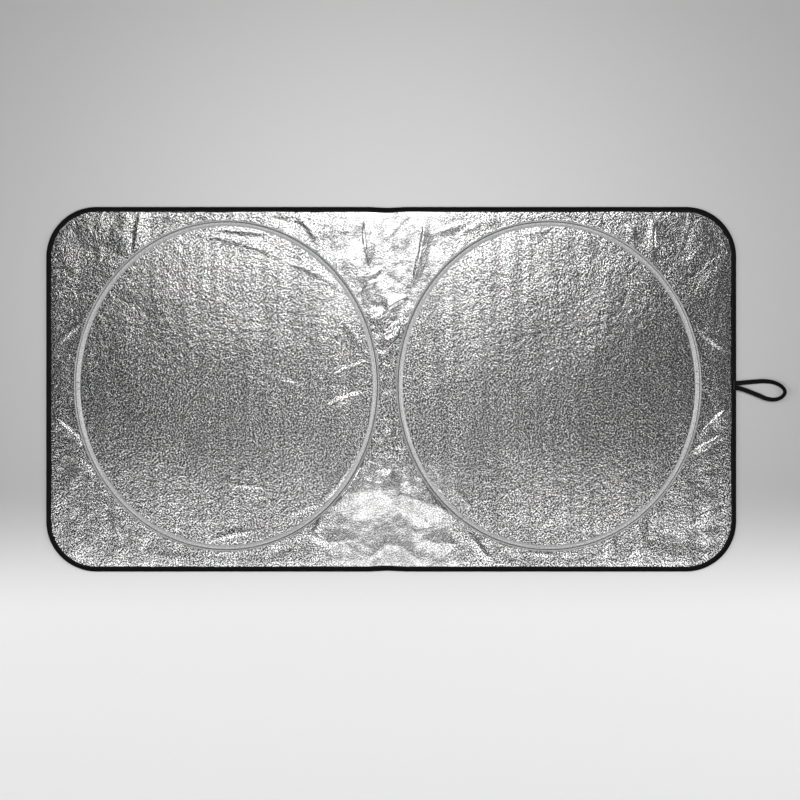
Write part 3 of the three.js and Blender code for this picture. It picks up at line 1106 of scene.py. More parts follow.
CREASES = (
    Crease(W, (-202, 372), (-149, 297), 1.4, 16, 4, 6),
    Crease(W, (-51, 384), (-36, 246), 2.6, 22, 5, -4),
    Crease(W, (53, 379), (4, 326), 0.6, 3, 16),
    Crease(W, (83, 382), (48, 206), 2.6, 22, 5, 5),
    Crease(W, (48, 196), (-12, 160), 3.0, 5, 16, -3),
    Crease(W, (92, 332), (188, 364), 1.1, 4, 18),
    Crease(W, (150, 330), (222, 368), 1.1, 4, 15),
    Crease(W, (-70, 240), (-10, 262), 2.4, 5, 14, -8),
    Crease(W, (-60, 205), (-20, 232), 2.2, 5, 10, 4),
    Crease(W, (40, -222), (-142, -240), 4.6, 64, 100),
    Crease(W, (138, -276), (10, -228), 4.4, 56, 54),
    Crease(W, (96, -212), (52, -258), 1.6, 22, 8, 3),
    Crease(W, (70, -340), (152, -346), 2.5, 27, 32),
    Crease(W, (-146, -344), (-64, -336), 2.5, 27, 32),
    Crease(W, (-44, -384), (-2, -350), 1.3, 20, 12, 3),
    Crease(W, (-14, -352), (38, -352), 1.3, 18, 12, 3),
    Crease(W, (26, -350), (66, -384), 1.3, 20, 12, 3),
    Crease(W, (60, -262), (92, -310), 2.2, 4, 12),
    Crease(W, (-143, -283), (-165, -330), 2.4, 15, 5),
    Crease(W, (-184, -318), (-110, -350), 2.4, 8, 12),
    Crease(W, (175, -315), (228, -385), 3.0, 4, 16),
    Crease(L, (-190, 384), (-207, 284), 1.7, 26, 4),
    Crease(L, (-220, 384), (-234, 276), 1.2, 26, 30),
    Crease(L, (-388, 78), (-294, 158), 2.0, 8, 6),
    Crease(L, (-392, -60), (-298, -142), 2.4, 7, 7),
    Crease(L, (-356, -142), (-270, -204), 2.1, 7, 7),
    Crease(L, (-262, -275), (-225, -345), 2.4, 16, 5),
    Crease(L, (-32, 344), (104, 336), 1.9, 4, 13),
    Crease(L, (-60, 330), (140, 268), 0.8, 24, 4, 8),
    Crease(L, (120, 274), (268, 200), 0.9, 20, 4, 5),
    Crease(L, (45, 46), (206, -12), 0.7, 5, 14, -6),
    Crease(L, (200, -58), (318, -14), 1.6, 8, 18, 8),
    Crease(L, (215, 12), (310, 54), 1.0, 5, 14, 4),
    Crease(L, (245, 159), (308, 63), 0.8, 4, 14, 3),
    Crease(L, (-9, -213), (96, -224), 0.8, 5, 12, 3),
    Crease(L, (110, -290), (222, -252), 1.1, 6, 14, 3),
    Crease(L, (-38, -340), (72, -318), 1.2, 12, 6, 4),
    Crease(L, (-36, -368), (48, -363), 1.6, 12, 5, 3),
    Crease(R, (-60, -368), (22, -374), 1.4, 10, 5, 3),
    Crease(R, (229, 376), (232, 268), 2.0, 4, 18),
    Crease(R, (168, 356), (190, 318), 2.0, 13, 4),
    Crease(R, (312, 137), (398, 70), 2.2, 6, 10),
    Crease(R, (322, -116), (404, -38), 2.4, 6, 8),
    Crease(R, (300, -155), (390, -103), 2.3, 6, 8),
    Crease(R, (300, -309), (388, -262), 2.2, 6, 14),
    Crease(R, (220, -282), (175, -380), 2.8, 16, 5),
    Crease(R, (154, -332), (104, -378), 2.4, 14, 5),
    Crease(R, (-66, 334), (8, 348), 1.0, 4, 14, -4),
    Crease(R, (-217, -213), (-158, -285), 1.0, 4, 14, 5),
    Crease(R, (-33, -327), (37, -250), 0.9, 4, 14, 3),
)


@dataclass(frozen=True)
class Crumple:
    """One size of the film's crumple.

    Attributes:
        cell: Size of its facets.
        outside: Height outside the hoops.
        inside: Height inside the hoops.
        waist: What its height is multiplied by at the fold.
        seed: Which pattern it is.
    """

    cell: float
    outside: float
    inside: float
    waist: float
    seed: int


@dataclass
class FilmRelief:
    """How high the loose film stands, from its creases and its crumple.

    Attributes:
        panel: The panel.
        hoops: The two hoops.
        crumples: The sizes of crumple.
        bound: Width of the rim that the binding holds.
        fade: How far a crease fades beside a seam.
        swell_reach: How far from a seam the film's swell grows.
        settled: How far inside a casing the film gets as smooth as it is there.
        waist_reach: How far the fold's own crumple reaches.
        waist_ends: Where along the fold that crumple weakens, and where it is weakest.
        waist_loss: How much of it is lost there.
        wander: How far the facets' pattern strays, in facets.
        puff: How far the foam swells up inside the binding, which presses its rim down.
        puff_ends: How far in from the edge that swelling starts to fade, and where it is gone.
        puff_clear: How far from a casing it is full.
        deepest: How far the film may dip below its flat place.
    """

    panel: Panel
    hoops: Sequence[Hoop]
    crumples: Sequence[Crumple] = (
        Crumple(46 * MM, 1.4 * MM, 0.40 * MM, 2.2, 11),
        Crumple(22 * MM, 0.5 * MM, 0.10 * MM, 2.8, 12),
        Crumple(12 * MM, 0.16 * MM, 0.03 * MM, 5.5, 13),
    )
    bound: float = 0.011
    fade: float = 0.005
    swell_reach: float = 0.045
    settled: float = 0.03
    waist_reach: float = 0.13
    waist_ends: tuple[float, float] = (0.17, 0.25)
    waist_loss: float = 0.7
    wander: float = 0.55
    puff: float = 0.0005
    puff_ends: tuple[float, float] = (0.032, 0.080)
    puff_clear: float = 0.055
    deepest: float = -1.1 * MM

    def free(self, x: np.ndarray, y: np.ndarray) -> np.ndarray:
        """How far places lie from anything that is sewn down.

        Args:
            x: Places along the panel.
            y: Places across it.

        Returns:
            The distances.
        """
        near = self.panel.inset(x, y) - self.bound
        for hoop in self.hoops:
            near = np.minimum(near, hoop.beside(x, y))
        return near

    def creased(self, x: np.ndarray, y: np.ndarray) -> np.ndarray:
        """Height of the placed creases.

        Args:
            x: Places along the panel.
            y: Places across it.

        Returns:
            The heights.
        """
        left, right = self.hoops
        starts = {
            Origin.WAIST: (self.panel.fold_x, left.centre_y),
            Origin.LEFT: (left.centre_x, left.centre_y),
            Origin.RIGHT: (right.centre_x, right.centre_y),
        }
        top = np.zeros_like(x)
        for crease in CREASES:
            from_x, from_y = starts[crease.origin]
            rise = crease.rise((x - from_x) / MM, (y - from_y) / MM) * MM
            top = np.maximum(top, rise)
        return top

    def crumpled(self, x: np.ndarray, y: np.ndarray, near: np.ndarray) -> np.ndarray:
        """Height of the crumple: facets in a wandering pattern, at several sizes.

        Args:
            x: Places along the panel.
            y: Places across it.
            near: How far they lie from anything that is sewn down.

        Returns:
            The heights.
        """
        inside = np.zeros_like(x)
        for hoop in self.hoops:
            inside = np.maximum(inside, smoothstep(-hoop.beyond(x, y), 0.0, self.settled))
        waist = np.clip(1 - np.abs(x - self.panel.fold_x) / self.waist_reach, 0, 1)
        waist *= 1 - self.waist_loss * smoothstep(np.abs(y), *self.waist_ends)
        total = np.zeros_like(x)
        for size in self.crumples:
            noise = SeededNoise(size.seed)
            u = x / size.cell
            v = y / size.cell
            u_bent = u + self.wander * noise.smooth(u * 0.6 + 7.1, v * 0.6)
            v_bent = v + self.wander * noise.smooth(u * 0.6, v * 0.6 + 3.7)
            facets = noise.facets(u_bent, v_bent)
            tall = size.outside * (1 + (size.waist - 1) * waist)
            held = smoothstep(near, 0.0, min(0.7 * size.cell, 0.03))
            total += held * (facets - 0.45) * (tall * (1 - inside) + size.inside * inside)
        return total

    def billow(self, x: np.ndarray, y: np.ndarray) -> np.ndarray:
        """The soft swell of the film over its whole face.

        Args:
            x: Places along the panel.
            y: Places across it.

        Returns:
            The heights.
        """
        noise = SeededNoise(21)
        broad = noise.smooth(x / 0.17, y / 0.24)
        lesser = noise.smooth(x / 0.07 + 9, y / 0.11 + 4)
        return (1.3 * broad + 0.35 * lesser) * MM

    def height(self, x: np.ndarray, y: np.ndarray) -> np.ndarray:
        """Height of the film above its flat place.

        Args:
            x: Places along the panel.
            y: Places across it.

        Returns:
            The heights.
        """
        near = self.free(x, y)
        creases = smoothstep(near, 0.0, self.fade) * self.creased(x, y)
        swell = smoothstep(near, 0.0, self.swell_reach) * self.billow(x, y)
        clear = np.minimum(self.hoops[0].beside(x, y), self.hoops[1].beside(x, y))
        rim = 1 - smoothstep(self.panel.inset(x, y), *self.puff_ends)
        rim *= smoothstep(clear, 0.0, self.puff_clear)
        puffed = self.puff * rim * smoothstep(near, 0.0, 0.012)
        return np.maximum(creases + swell + puffed + self.crumpled(x, y, near), self.deepest)


# The pieces


@dataclass
class ClothSheet:
    """A cut sheet of cloth, laid as a fine grid that follows the relief.

    Attributes:
        panel: The panel.
        relief: The film's relief.
        name: The piece's name.
        node: The CAD node that it stands for.
        slot: The record's material slot; not used.
        finish: Its finish.
        level: Height of its seen face where it lies flat.
        rim_level: Height of that face between the binding's legs.
        share: How much of the relief it follows.
        coarse: Grid pitch.
        fine: Grid pitch at the fold.
        faces_down: Whether the seen face is the underside.
        tucked: How far its cut edge lies in from the panel's edge, inside the binding.
        ramp: How far in from the edge it starts to leave the binding, and where it lies flat.
    """

    panel: Panel
    relief: FilmRelief
    name: str
    node: str
    slot: str
    finish: Finish
    level: float
    rim_level: float
    share: float = 1.0
    coarse: float = 0.0042
    fine: float = 0.0024
    faces_down: bool = False
    tucked: float = 0.004
    ramp: tuple[float, float] = (0.011, 0.029)

    def lines(self, half: float, pitch: Callable[[np.ndarray], np.ndarray]) -> np.ndarray:
        """Grid lines across a span, closer where the pitch is smaller.

        Args:
            half: Half of the span.
            pitch: Gives the wanted pitch at places.

        Returns:
            The lines' places.
        """
        fine = np.linspace(-half, half, 4001)
        density = 1 / pitch(fine)
        steps = np.concatenate([[0.0], np.cumsum((density[1:] + density[:-1]) / 2 * np.diff(fine))])
        count = int(steps[-1]) + 1
        return np.interp(np.linspace(0, steps[-1], count + 1), steps, fine)

    def build(self) -> bpy.types.Object:
        """Returns:
            The sheet.
        """
        xs = self.lines(self.panel.width / 2 - self.tucked, self.pitch_x)
        ys = self.lines(self.panel.height / 2 - self.tucked, lambda y: np.full_like(y, self.coarse * 0.86))
        x, y = np.meshgrid(xs, ys)
        inset = self.panel.inset(x, y)
        lift = 1 - smoothstep(inset, *self.ramp)
        relief = self.relief.height(x, y)
        if self.faces_down:
            relief = np.maximum(relief, 0.0)
        z = self.level + lift * (self.rim_level - self.level) + self.share * relief
        kept = inset >= self.tucked - 1e-6
        whole = kept[:-1, :-1] & kept[:-1, 1:] & kept[1:, :-1] & kept[1:, 1:]
        numbers = np.arange(x.size).reshape(x.shape)
        quads = np.stack(
            [numbers[:-1, :-1], numbers[:-1, 1:], numbers[1:, 1:], numbers[1:, :-1]],
            axis=-1,
        )[whole]
        if self.faces_down:
            quads = quads[:, ::-1]
        used = np.unique(quads)
        renumber = np.full(x.size, -1)
        renumber[used] = np.arange(len(used))
        points = np.stack([x.ravel(), y.ravel(), z.ravel()], axis=1)[used]
        piece = mesh_object(self.name, points, renumber[quads])
        piece.data.materials.append(self.finish.build())
        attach(piece, "root")
        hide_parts(self.node)
        LOG.info("%s: %d faces", self.name, len(quads))
        return piece

    def pitch_x(self, x: np.ndarray) -> np.ndarray:
        """Grid pitch along the panel, finest at the fold."""
        away = smoothstep(np.abs(x - self.panel.fold_x), 0.09, 0.17)
        return self.fine + (self.coarse - self.fine) * away


@dataclass
class StitchRow:
    """A row of lockstitches: short arched beads of thread, each sunk at both ends.

    Attributes:
        name: The row's name.
        finish: The thread.
        slot: The record's material slot; not used.
        stitch: Length of one stitch.
        radius: Half of the thread's width.
        bulge: How far a stitch's middle stands over its ends.
        sides: Sides of the bead.
    """

    name: str
    finish: Finish
    slot: str
    stitch: float = 0.0028
    radius: float = 0.00030
    bulge: float = 0.00028
    sides: int = 5

    def build(self, starts: np.ndarray, runs: np.ndarray, upward: np.ndarray) -> bpy.types.Object:
        """Makes one bead at every place.

        Args:
            starts: Middle of each stitch.
            runs: Unit direction of each stitch.
            upward: Unit direction out of the cloth at each stitch.

        Returns:
            The row, as one mesh.
        """
        across = np.cross(upward, runs)
        steps = np.array([-0.5, -0.28, 0.0, 0.28, 0.5])
        thick = np.array([0.35, 0.9, 1.0, 0.9, 0.35])
        arch = np.array([-0.9, 0.1, 1.0, 0.1, -0.9])
        turn = np.arange(self.sides) / self.sides * 2 * math.pi
        bead = len(steps) * self.sides
        points = []
        for step, width, rise in zip(steps, thick, arch):
            centre = starts + runs * step * self.stitch + upward * rise * self.bulge
            for angle in turn:
                ring = across * math.cos(angle) + upward * math.sin(angle)
                points.append(centre + ring * self.radius * width)
        grid = np.stack(points, axis=1).reshape(-1, 3)
        faces = []
        for k in range(len(steps) - 1):
            for s in range(self.sides):
                t = (s + 1) % self.sides
                a = k * self.sides
                faces.append([a + s, a + self.sides + s, a + self.sides + t, a + t])
        quads = np.array(faces)
        every = (quads[None] + (np.arange(len(starts)) * bead)[:, None, None]).reshape(-1, 4)
        piece = mesh_object(self.name, grid, every)
        piece.data.materials.append(self.finish.build())
        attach(piece, "root")
        LOG.info("%s: %d stitches", self.name, len(starts))
        return piece

    def along(self, stations: Stations, out_mm: float, up_mm: float, pitch: float) -> bpy.types.Object:
        """Sews the row along closed stations.

        Args:
            stations: The curve.
            out_mm: How far out of it the row runs.
            up_mm: How high the row lies.
            pitch: Distance from one stitch to the next.

        Returns:
            The row.
        """
        line = stations.section(np.array([out_mm]), np.array([up_mm]))[:, 0]
        closed = np.concatenate([line, line[:1]])
        lengths = np.linalg.norm(np.diff(closed, axis=0), axis=1)
        reach = np.concatenate([[0.0], np.cumsum(lengths)])
        count = int(reach[-1] / pitch)
        places = (np.arange(count) + 0.5) / count * reach[-1]
        starts = np.stack([np.interp(places, reach, closed[:, axis]) for axis in range(3)], axis=1)
        ahead = np.stack([np.interp(places + 1e-4, reach, closed[:, axis]) for axis in range(3)], axis=1)
        runs = unit(ahead - starts)
        return self.build(starts, runs, upright(count))


@dataclass
class HoopCasing:
    """The tape sewn down over a hoop, with its two needle rows.

    Attributes:
        hoop: The hoop's place.
        tape: The tape's finish.
        bar_thread_and_groove_shade: Thread of the bars, and of the row in the groove beside the tunnel,
            drawn thick and close-set in charcoal as the painted shade of that groove.
        grey_thread_and_pucker_shade: Thread of the outer row, drawn twice as thick as the other thread so
            that it is also the painted shade of the puckers the stitches pull in.
        light_thread: Thread of the inner row.
        steps: Stations round the hoop.
        foot_mm: Height of the film that the tape is sewn to.
        flange_mm: How far from the wire the tape's free edges start, which wander a little.
        section_mm: Corners of the tape's section, outwards from the wire and up from the underside.
    """

    hoop: Hoop
    tape: Finish
    bar_thread_and_groove_shade: Finish
    grey_thread_and_pucker_shade: Finish
    light_thread: Finish
    steps: int = 420
    foot_mm: float = 2.0
    flange_mm: float = 4.2
    section_mm: tuple[tuple[float, float], ...] = (
        (7.25, 2.0),
        (7.2, 2.4),
        (6.6, 2.9),
        (5.9, 3.0),
        (5.3, 2.8),
        (4.8, 2.35),
        (3.6, 2.25),
        (2.5, 2.4),
        (2.4, 4.6),
        (1.9, 5.5),
        (0.8, 5.95),
        (-0.8, 5.95),
        (-2.3, 5.6),
        (-3.6, 4.7),
        (-4.7, 3.5),
        (-5.5, 2.7),
        (-6.0, 2.5),
        (-6.4, 2.35),
        (-6.45, 2.0),
        (-3.9, 2.0),
        (-1.95, 5.35),
        (1.8, 5.35),
        (2.2, 2.0),
    )

    def build(self) -> None:
        """Makes the tape, its seams and its bar tack."""
        stations = self.hoop.stations(self.steps)
        section = np.array(self.section_mm)
        angle = np.arange(self.steps) / self.steps * 2 * math.pi
        noise = SeededNoise(31 if self.hoop.name == "left" else 32)
        sway = 0.5 * noise.along(angle * 6) + 0.3 * noise.along(angle * 23, 5)
        swell = 1 + 0.10 * noise.along(angle * 15, 9)
        loose = np.abs(section[:, 0]) > self.flange_mm
        out = section[None, :, 0] + sway[:, None] * loose[None, :]
        up = self.foot_mm + (section[None, :, 1] - self.foot_mm) * swell[:, None]
        name = f"{self.hoop.name}_hoop_casing"
        tape = sweep(name, stations.section(out, up), closed=True)
        tape.data.materials.append(self.tape.build())
        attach(tape, "root")
        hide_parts(f"{self.hoop.name}_casing_tape")
        # Painted shade: the outer row's beads are twice as thick as the thread, standing for the thread
        # and the shadow of the puckers it pulls in.
        outer = StitchRow(
            f"{self.hoop.name}_casing_outer_seam_shade",
            self.grey_thread_and_pucker_shade,
            "silver_thread",
            stitch=0.0040,
            radius=0.00060,
            bulge=0.00020,
        )
        outer.along(stations, out_mm=7.6, up_mm=2.3, pitch=0.0056)
        # Painted shade: this row's beads are thick, dark and close-set, so they are the seam's thread and
        # the groove's shadow in one.
        groove = StitchRow(
            f"{self.hoop.name}_casing_groove_seam_shade",
            self.bar_thread_and_groove_shade,
            "black_thread",
            stitch=0.0044,
            radius=0.00105,
            bulge=0.00010,
        )
        groove.along(stations, out_mm=3.2, up_mm=2.9, pitch=0.0042)
        inner = StitchRow(f"{self.hoop.name}_casing_inner_seam", self.light_thread, "silver_thread")
        inner.along(stations, out_mm=-5.9, up_mm=2.65, pitch=0.0036)
        self.sew_bars()
        LOG.info("%s: %d faces", name, len(tape.data.polygons))

    def sew_bars(self) -> None:
        """Sews the short bars of thread that lie across the casing where its tape's ends meet."""
        spots = self.hoop.at(np.radians(np.array(self.hoop.bars)))
        bar = StitchRow(
            f"{self.hoop.name}_casing_bars",
            self.bar_thread_and_groove_shade,
            "black_thread",
            stitch=0.0085,
            radius=0.0009,
            bulge=0.0017,
        )
        middle = spots.section(np.array([-1.0]), np.array([4.9]))[:, 0]
        bar.build(middle, spots.outward, spots.upward)


@dataclass
class BarTack:
    """A bar tack: a tight zigzag of thread over a base of longer stitches.

    Attributes:
        name: The piece's name.
        node: The CAD block that it stands for.
        finish: The thread.
        slot: The record's material slot.
        pitch: Distance between the zigzag's threads.
        slant: How far a thread leans to the side for each unit of its length.
    """

    name: str
    node: str
    finish: Finish
    slot: str
    pitch: float = 0.00048
    slant: float = 0.12

    def build(self) -> bpy.types.Object:
        """Fills the CAD block's space with the zigzag.

        Returns:
            The tack.
        """
        low, high = (np.array(corner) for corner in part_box(self.node))
        size = high - low
        long_axis = 0 if size[0] > size[1] else 1
        short_axis = 1 - long_axis
        count = int(size[long_axis] / self.pitch)
        places = np.tile((low + high) / 2, (count, 1))
        places[:, long_axis] = low[long_axis] + (np.arange(count) + 0.5) / count * size[long_axis]
        places[:, 2] = low[2] + size[2] * 0.5
        runs = np.zeros((count, 3))
        runs[:, short_axis] = 1.0
        runs[:, long_axis] = np.where(np.arange(count) % 2 == 0, self.slant, -self.slant)
        row = StitchRow(
            self.name,
            self.finish,
            self.slot,
            stitch=size[short_axis],
            radius=self.pitch * 0.6,
            bulge=size[2] * 0.4,
        )
        piece = row.build(places, unit(runs), upright(count))
        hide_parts(self.node)
        return piece


@dataclass
class EdgeBinding:
    """Black woven tape folded round the panel's edge, and the row that sews it on.

    Attributes:
        panel: The panel.
        tape: The tape's finish.
        thread: The thread.
        pitch: Distance between its stations.
        leg_mm: How far in from the edge the tape's legs start to wander, and over what length.
        crown_mm: Height above which the upper leg swells between the stitches.
        section_mm: Corners of the tape's section, outwards from the edge and up from the underside.
    """

    panel: Panel
    tape: Finish
    thread: Finish
    pitch: float = 0.005
    leg_mm: tuple[float, float] = (7.0, 3.5)
    crown_mm: float = 2.9
    section_mm: tuple[tuple[float, float], ...] = (
        (-11.0, 0.05),
        (-6.0, 0.0),
        (-1.3, 0.0),
        (-0.5, 0.25),
        (-0.1, 0.9),
        (0.0, 1.75),
        (-0.1, 2.6),
        (-0.5, 3.25),
        (-1.3, 3.55),
        (-4.0, 3.75),
        (-7.2, 3.7),
        (-8.6, 3.5),
        (-9.8, 3.62),
        (-10.8, 3.45),
        (-11.0, 3.15),
        (-10.9, 2.35),
        (-1.3, 2.35),
        (-0.75, 1.9),
        (-0.75, 1.2),
        (-1.3, 0.7),
        (-10.9, 0.7),
    )

    def build(self) -> None:
        """Makes the binding and its stitches."""
        stations = self.panel.edge(self.pitch)
        count = len(stations.middle)
        section = np.array(self.section_mm)
        reach = np.arange(count) * self.pitch
        noise = SeededNoise(41)
        sway = 1.3 * noise.along(reach / 0.11) + 0.6 * noise.along(reach / 0.03, 4)
        puff = 1 + 0.22 * noise.along(reach / 0.02, 8)
        leg_start, leg_length = self.leg_mm
        legs = np.clip((-section[:, 0] - leg_start) / leg_length, 0, 1)
        out = section[None, :, 0] + sway[:, None] * legs[None, :]
        over = np.clip(section[:, 1] - self.crown_mm, 0, None)
        up = section[None, :, 1] + over[None, :] * (puff[:, None] - 1)
        tape = sweep("black_edge_binding", stations.section(out, up), closed=True)
        tape.data.materials.append(self.tape.build())
        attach(tape, "root")
        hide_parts("edge_binding")
        row = StitchRow("binding_seam", self.thread, "black_thread")
        row.along(stations, out_mm=-8.6, up_mm=3.6, pitch=0.0036)
        LOG.info("black_edge_binding: %d faces", len(tape.data.polygons))


@dataclass
class KeeperLoop:
    """The flat elastic loop at the panel's right edge, and the bar tack that holds it.

    Attributes:
        panel: The panel.
        elastic: The elastic's finish.
        thread: The bar tack's thread.
        width: Width of the elastic.
        thickness: Its thickness.
        rib_mm: Pitch of its ribs.
        groove_mm: Depth between them.
        steps: Stations along it.
        places_mm: Places that it runs through: along and across from the middle of the panel's right
            edge, up from the underside, and its tilt there in degrees.
    """

    panel: Panel
    elastic: Finish
    thread: Finish
    width: float = 0.010
    thickness: float = 0.0012
    rib_mm: float = 1.25
    groove_mm: float = 0.20
    steps: int = 150
    places_mm: tuple[tuple[float, float, float, float], ...] = (
        (-9.0, 13.3, 4.3, 0),
        (3.0, 13.3, 4.3, 0),
        (34.0, 16.0, 2.6, 6),
        (62.0, 17.5, 2.8, 18),
        (84.0, 14.0, 3.9, 38),
        (101.0, 4.0, 4.7, 50),
        (106.0, -6.0, 4.8, 52),
        (101.0, -15.5, 4.7, 50),
        (88.0, -22.0, 4.2, 40),
        (70.0, -21.5, 2.9, 18),
        (48.0, -13.0, 2.6, 6),
        (24.0, -3.5, 3.4, 0),
        (3.0, 2.7, 4.3, 0),
        (-9.0, 2.7, 4.3, 0),
    )

    def curve(self) -> tuple[np.ndarray, np.ndarray]:
        """Runs a smooth line through the loop's places.

        Returns:
            Places along the line, in millimetres from the panel's edge, and the tilt at each.
        """
        places = np.array(self.places_mm)
        points = np.concatenate(
            [
                [2 * places[0, :3] - places[1, :3]],
                places[:, :3],
                [2 * places[-1, :3] - places[-2, :3]],
            ]
        )
        share = np.linspace(0, len(places) - 1, self.steps)
        line = []
        for value in share:
            k = min(int(value), len(places) - 2)
            t = value - k
            p0, p1, p2, p3 = points[k : k + 4]
            d0, d1, d2 = (math.sqrt(np.linalg.norm(b - a)) for a, b in ((p0, p1), (p1, p2), (p2, p3)))
            m1 = ((p1 - p0) / d0 - (p2 - p0) / (d0 + d1) + (p2 - p1) / d1) * d1
            m2 = ((p2 - p1) / d1 - (p3 - p1) / (d1 + d2) + (p3 - p2) / d2) * d1
            c2 = -3 * p1 + 3 * p2 - 2 * m1 - m2
            c3 = 2 * p1 - 2 * p2 + m1 + m2
            line.append(p1 + m1 * t + c2 * t**2 + c3 * t**3)
        tilt = np.radians(np.interp(share, np.arange(len(places)), places[:, 3]))
        return np.array(line), tilt

    def build(self) -> None:
        """Makes the elastic and its bar tack."""
        line, tilt = self.curve()
        middle = line * MM
        middle[:, 0] += self.panel.width / 2
        tangent = unit(np.gradient(middle, axis=0))
        across = unit(np.stack([-tangent[:, 1], tangent[:, 0], 0 * tilt], axis=1))
        outward = across * np.cos(tilt)[:, None]
        outward[:, 2] = np.sin(tilt)
        upward = unit(np.cross(outward, tangent))
        w = self.width / 2 / MM
        t = self.thickness / 2 / MM
        top = np.linspace(w - 0.3, -w + 0.3, 9)
        half_groove = self.groove_mm / 2
        ribs = t - half_groove + half_groove * np.cos(top / self.rib_mm * 2 * math.pi)
        right = [(w, -t * 0.4), (w, t * 0.4)]
        left = [(-w, t * 0.4), (-w, -t * 0.4)]
        section = np.array(right + list(zip(top, ribs)) + left + list(zip(top[::-1], -ribs[::-1])))
        stations = Stations(middle, outward, upward)
        loop = sweep("black_keeper_loop", stations.section(section[:, 0], section[:, 1]), closed=False)
        loop.data.materials.append(self.elastic.build())
        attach(loop, "root")
        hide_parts("elastic_loop")
        BarTack("loop_tack", "loop_bar_tack", self.thread, "black_thread").build()
        LOG.info("black_keeper_loop: %d faces", len(loop.data.polygons))


@dataclass
class SpringHoops:
    """The steel hoops and their ferrules, which keep their CAD shapes inside the casings.

    Attributes:
        steel: Their finish.
    """

    frame: dict[str, Any]
    steel: Finish
    nodes: tuple[str, ...] = ("left_hoop", "right_hoop", "left_hoop_ferrule", "right_hoop_ferrule")

    def build(self) -> None:
        """Puts the steel's finish on each of them."""
        metal = self.steel.build()
        for name in self.nodes:
            piece = self.frame["nodes"][name]
            if not piece.material_slots:
                piece.data.materials.append(metal)
            for slot in piece.material_slots:
                slot.material = metal
            LOG.info("%s dressed", name)


@dataclass(frozen=True)
class Softbox:
    """A soft lamp that faces the shade.

    Attributes:
        name: The lamp's name.
        place: Where it hangs.
        size: Width and depth of its face.
        radiance: How bright its face is.
    """

    name: str
    place: tuple[float, float, float]
    size: tuple[float, float]
    radiance: float

    def build(self) -> None:
        """Hangs the lamp, turned to the middle of the shade."""
        data = bpy.data.lights.new(self.name, "AREA")
        data.shape = "RECTANGLE"
        data.size, data.size_y = self.size
        data.energy = self.radiance * math.pi * self.size[0] * self.size[1]
        lamp = bpy.data.objects.new(self.name, data)
        back = np.array(self.place) / np.linalg.norm(self.place)
        side = np.array([1.0, 0.0, 0.0])
        up = np.cross(back, side)
        up /= np.linalg.norm(up)
        side = np.cross(up, back)
        turned = Matrix(np.stack([side, up, back], axis=1).tolist()).to_4x4()
        turned.translation = self.place
        lamp.matrix_world = turned
        bpy.context.scene.collection.objects.link(lamp)


@dataclass
class Studio:
    """Floor, soft light and the camera that looks straight down on the shade.

    Attributes:
        floor: The floor's finish.
        lamps: The soft lamps.
        ceiling: Light of the room's ceiling.
        walls: Light of its walls, which stand lower than the lamps.
        wall_top: Height of a direction, from 0 to 1, where the ceiling ends and where the walls begin.
        floor_half: Half of the floor's side.
        floor_level: Height of the floor, just under the shade.
        view_width: Width of floor that the camera frames.
        angle: The camera's angle of view.
        aim: The place in the middle of the frame.
    """

    floor: Finish
    lamps: Sequence[Softbox]
    ceiling: float = 0.045
    walls: float = 0.40
    wall_top: tuple[float, float] = (0.55, 0.25)
    floor_half: float = 6.0
    floor_level: float = -0.0004
    view_width: float = 1.752
    angle: float = math.radians(28.0)
    aim: tuple[float, float] = (0.0192, -0.0235)

    def build(self) -> None:
        """Sets up the stage."""
        self.lay_floor()
        for lamp in self.lamps:
            lamp.build()
        self.light_room()
        self.place_camera()

    def lay_floor(self) -> None:
        """Lays the floor under the shade."""
        half = self.floor_half
        corners = np.array([(-half, -half), (half, -half), (half, half), (-half, half)])
        points = np.column_stack([corners, np.full(4, self.floor_level)])
        floor = mesh_object("studio_floor", points, [[0, 1, 2, 3]])
        floor.data.materials.append(self.floor.build())

    def light_room(self) -> None:
        """Gives the room its dim ceiling and its paler walls."""
        world = bpy.data.worlds.new("studio_room")
        world.use_nodes = True
        tree = world.node_tree
        tree.nodes.clear()
        towards = add_node(tree, "ShaderNodeTexCoord")
        axes = add_node(tree, "ShaderNodeSeparateXYZ", {0: towards.outputs["Generated"]})
        span = {"From Min": self.wall_top[0], "From Max": self.wall_top[1]}
        level = add_node(
            tree,
            "ShaderNodeMapRange",
            {"Value": axes.outputs[2], **span, "To Min": self.ceiling, "To Max": self.walls},
            interpolation_type="SMOOTHSTEP",
        )
        white = (1.0, 1.0, 1.0, 1.0)
        light = add_node(tree, "ShaderNodeBackground", {"Color": white, "Strength": level})
        add_node(tree, "ShaderNodeOutputWorld", {"Surface": light})
        bpy.context.scene.world = world

    def place_camera(self) -> None:
        """Hangs the camera over the shade, with the panel's top edge at the top of the frame."""
        data = bpy.data.cameras.new("photo_camera")
        data.sensor_width = 36.0
        data.lens = data.sensor_width / (2 * math.tan(self.angle / 2))
        height = self.view_width / (2 * math.tan(self.angle / 2))
        camera = bpy.data.objects.new("photo_camera", data)
        camera.location = (self.aim[0], self.aim[1], height)
        camera.rotation_euler = (0.0, 0.0, 0.0)
        bpy.context.scene.collection.objects.link(camera)
        bpy.context.scene.camera = camera


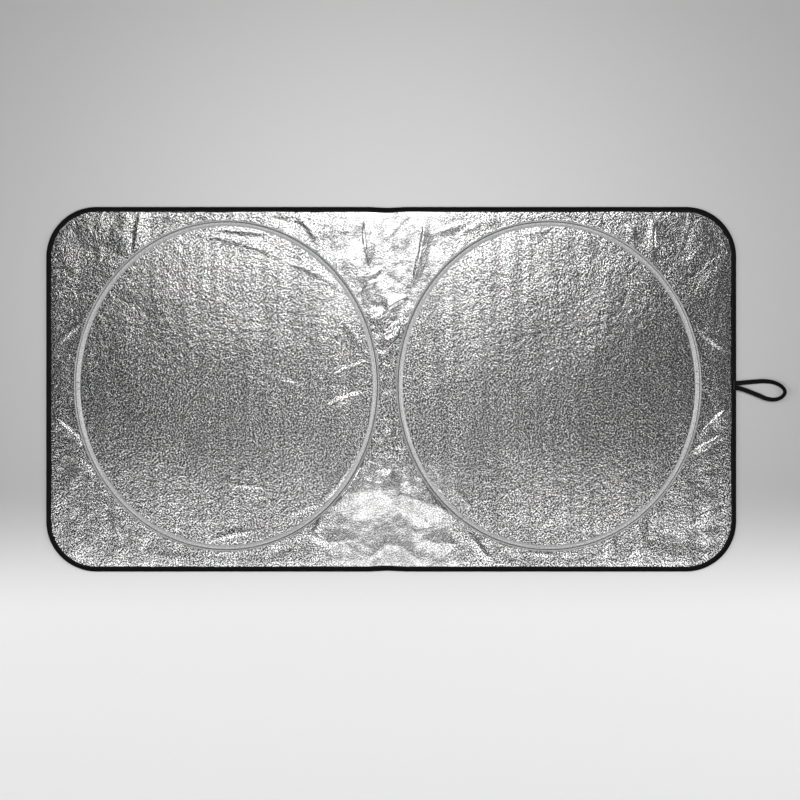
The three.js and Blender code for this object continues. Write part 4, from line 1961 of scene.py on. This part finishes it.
def main() -> None:
    """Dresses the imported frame, piece by piece."""
    logging.basicConfig(level=logging.INFO, format="%(name)s: %(message)s")
    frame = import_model()
    Studio(
        floor=StudioFloor(),
        lamps=(
            Softbox("top_softbox", (0.0, 1.2, 2.7), (1.7, 1.3), 3.8),
            Softbox("bottom_softbox", (0.0, -1.25, 2.4), (3.2, 1.5), 1.95),
            Softbox("overhead_softbox", (0.06, 0.21, 3.0), (0.8, 0.36), 0.8),
            Softbox("left_softbox", (-3.3, 0.3, 1.8), (1.8, 1.6), 7.1),
            Softbox("right_softbox", (3.3, 0.3, 1.8), (1.8, 1.6), 7.7),
        ),
    ).build()
    panel = Panel()
    hoops = (
        Hoop.from_frame("left", math.pi, (178.9, 181.2)),
        Hoop.from_frame("right", 0.0, (0.7, 5.1, 234.5)),
    )
    relief = FilmRelief(panel, hoops)
    ClothSheet(
        panel,
        relief,
        "silver_front_film",
        "front_foil",
        "metallised_film",
        MetallisedFilm(),
        level=1.7 * MM,
        rim_level=2.1 * MM,
    ).build()
    ClothSheet(
        panel,
        relief,
        "silver_back_cloth",
        "back_lining",
        "silver_lining",
        WovenCloth("silver_woven_lining", "#A7A9AC", metallic=0.55, roughness=0.5),
        level=0.0,
        rim_level=0.9 * MM,
        share=0.25,
        coarse=0.009,
        fine=0.006,
        faces_down=True,
    ).build()
    # Charcoal thread for the bars, and the painted shade of the casings' grooves.
    dark = SewingThread("charcoal_thread_groove_shade", "#323236")
    # Grey thread of the outer rows, which also stand for the painted shade of their puckers.
    grey = SewingThread("grey_thread_and_pucker_shade", "#5C5C5E")
    light = SewingThread("silver_grey_thread", "#A9ABAE")
    black = SewingThread("black_thread", "#1B1B1E")
    tape = SilverTape()
    for hoop in hoops:
        HoopCasing(hoop, tape, dark, grey, light).build()
        BarTack(f"{hoop.name}_casing_bar_tack", f"{hoop.name}_casing_tack", light, "silver_thread").build()
    binding = WovenCloth(
        "black_woven_binding",
        "#090909",
        thread_mm=1.1,
        roughness=0.78,
        source=Coordinates.ALONG_PIECE,
    )
    EdgeBinding(panel, binding, black).build()
    KeeperLoop(panel, RibbedElastic(), black).build()
    SpringHoops(frame, DrawnSteel()).build()
    bpy.context.scene.view_settings.view_transform = "Standard"
    LOG.info("all pieces built")


if __name__ == "__main__":
    main()
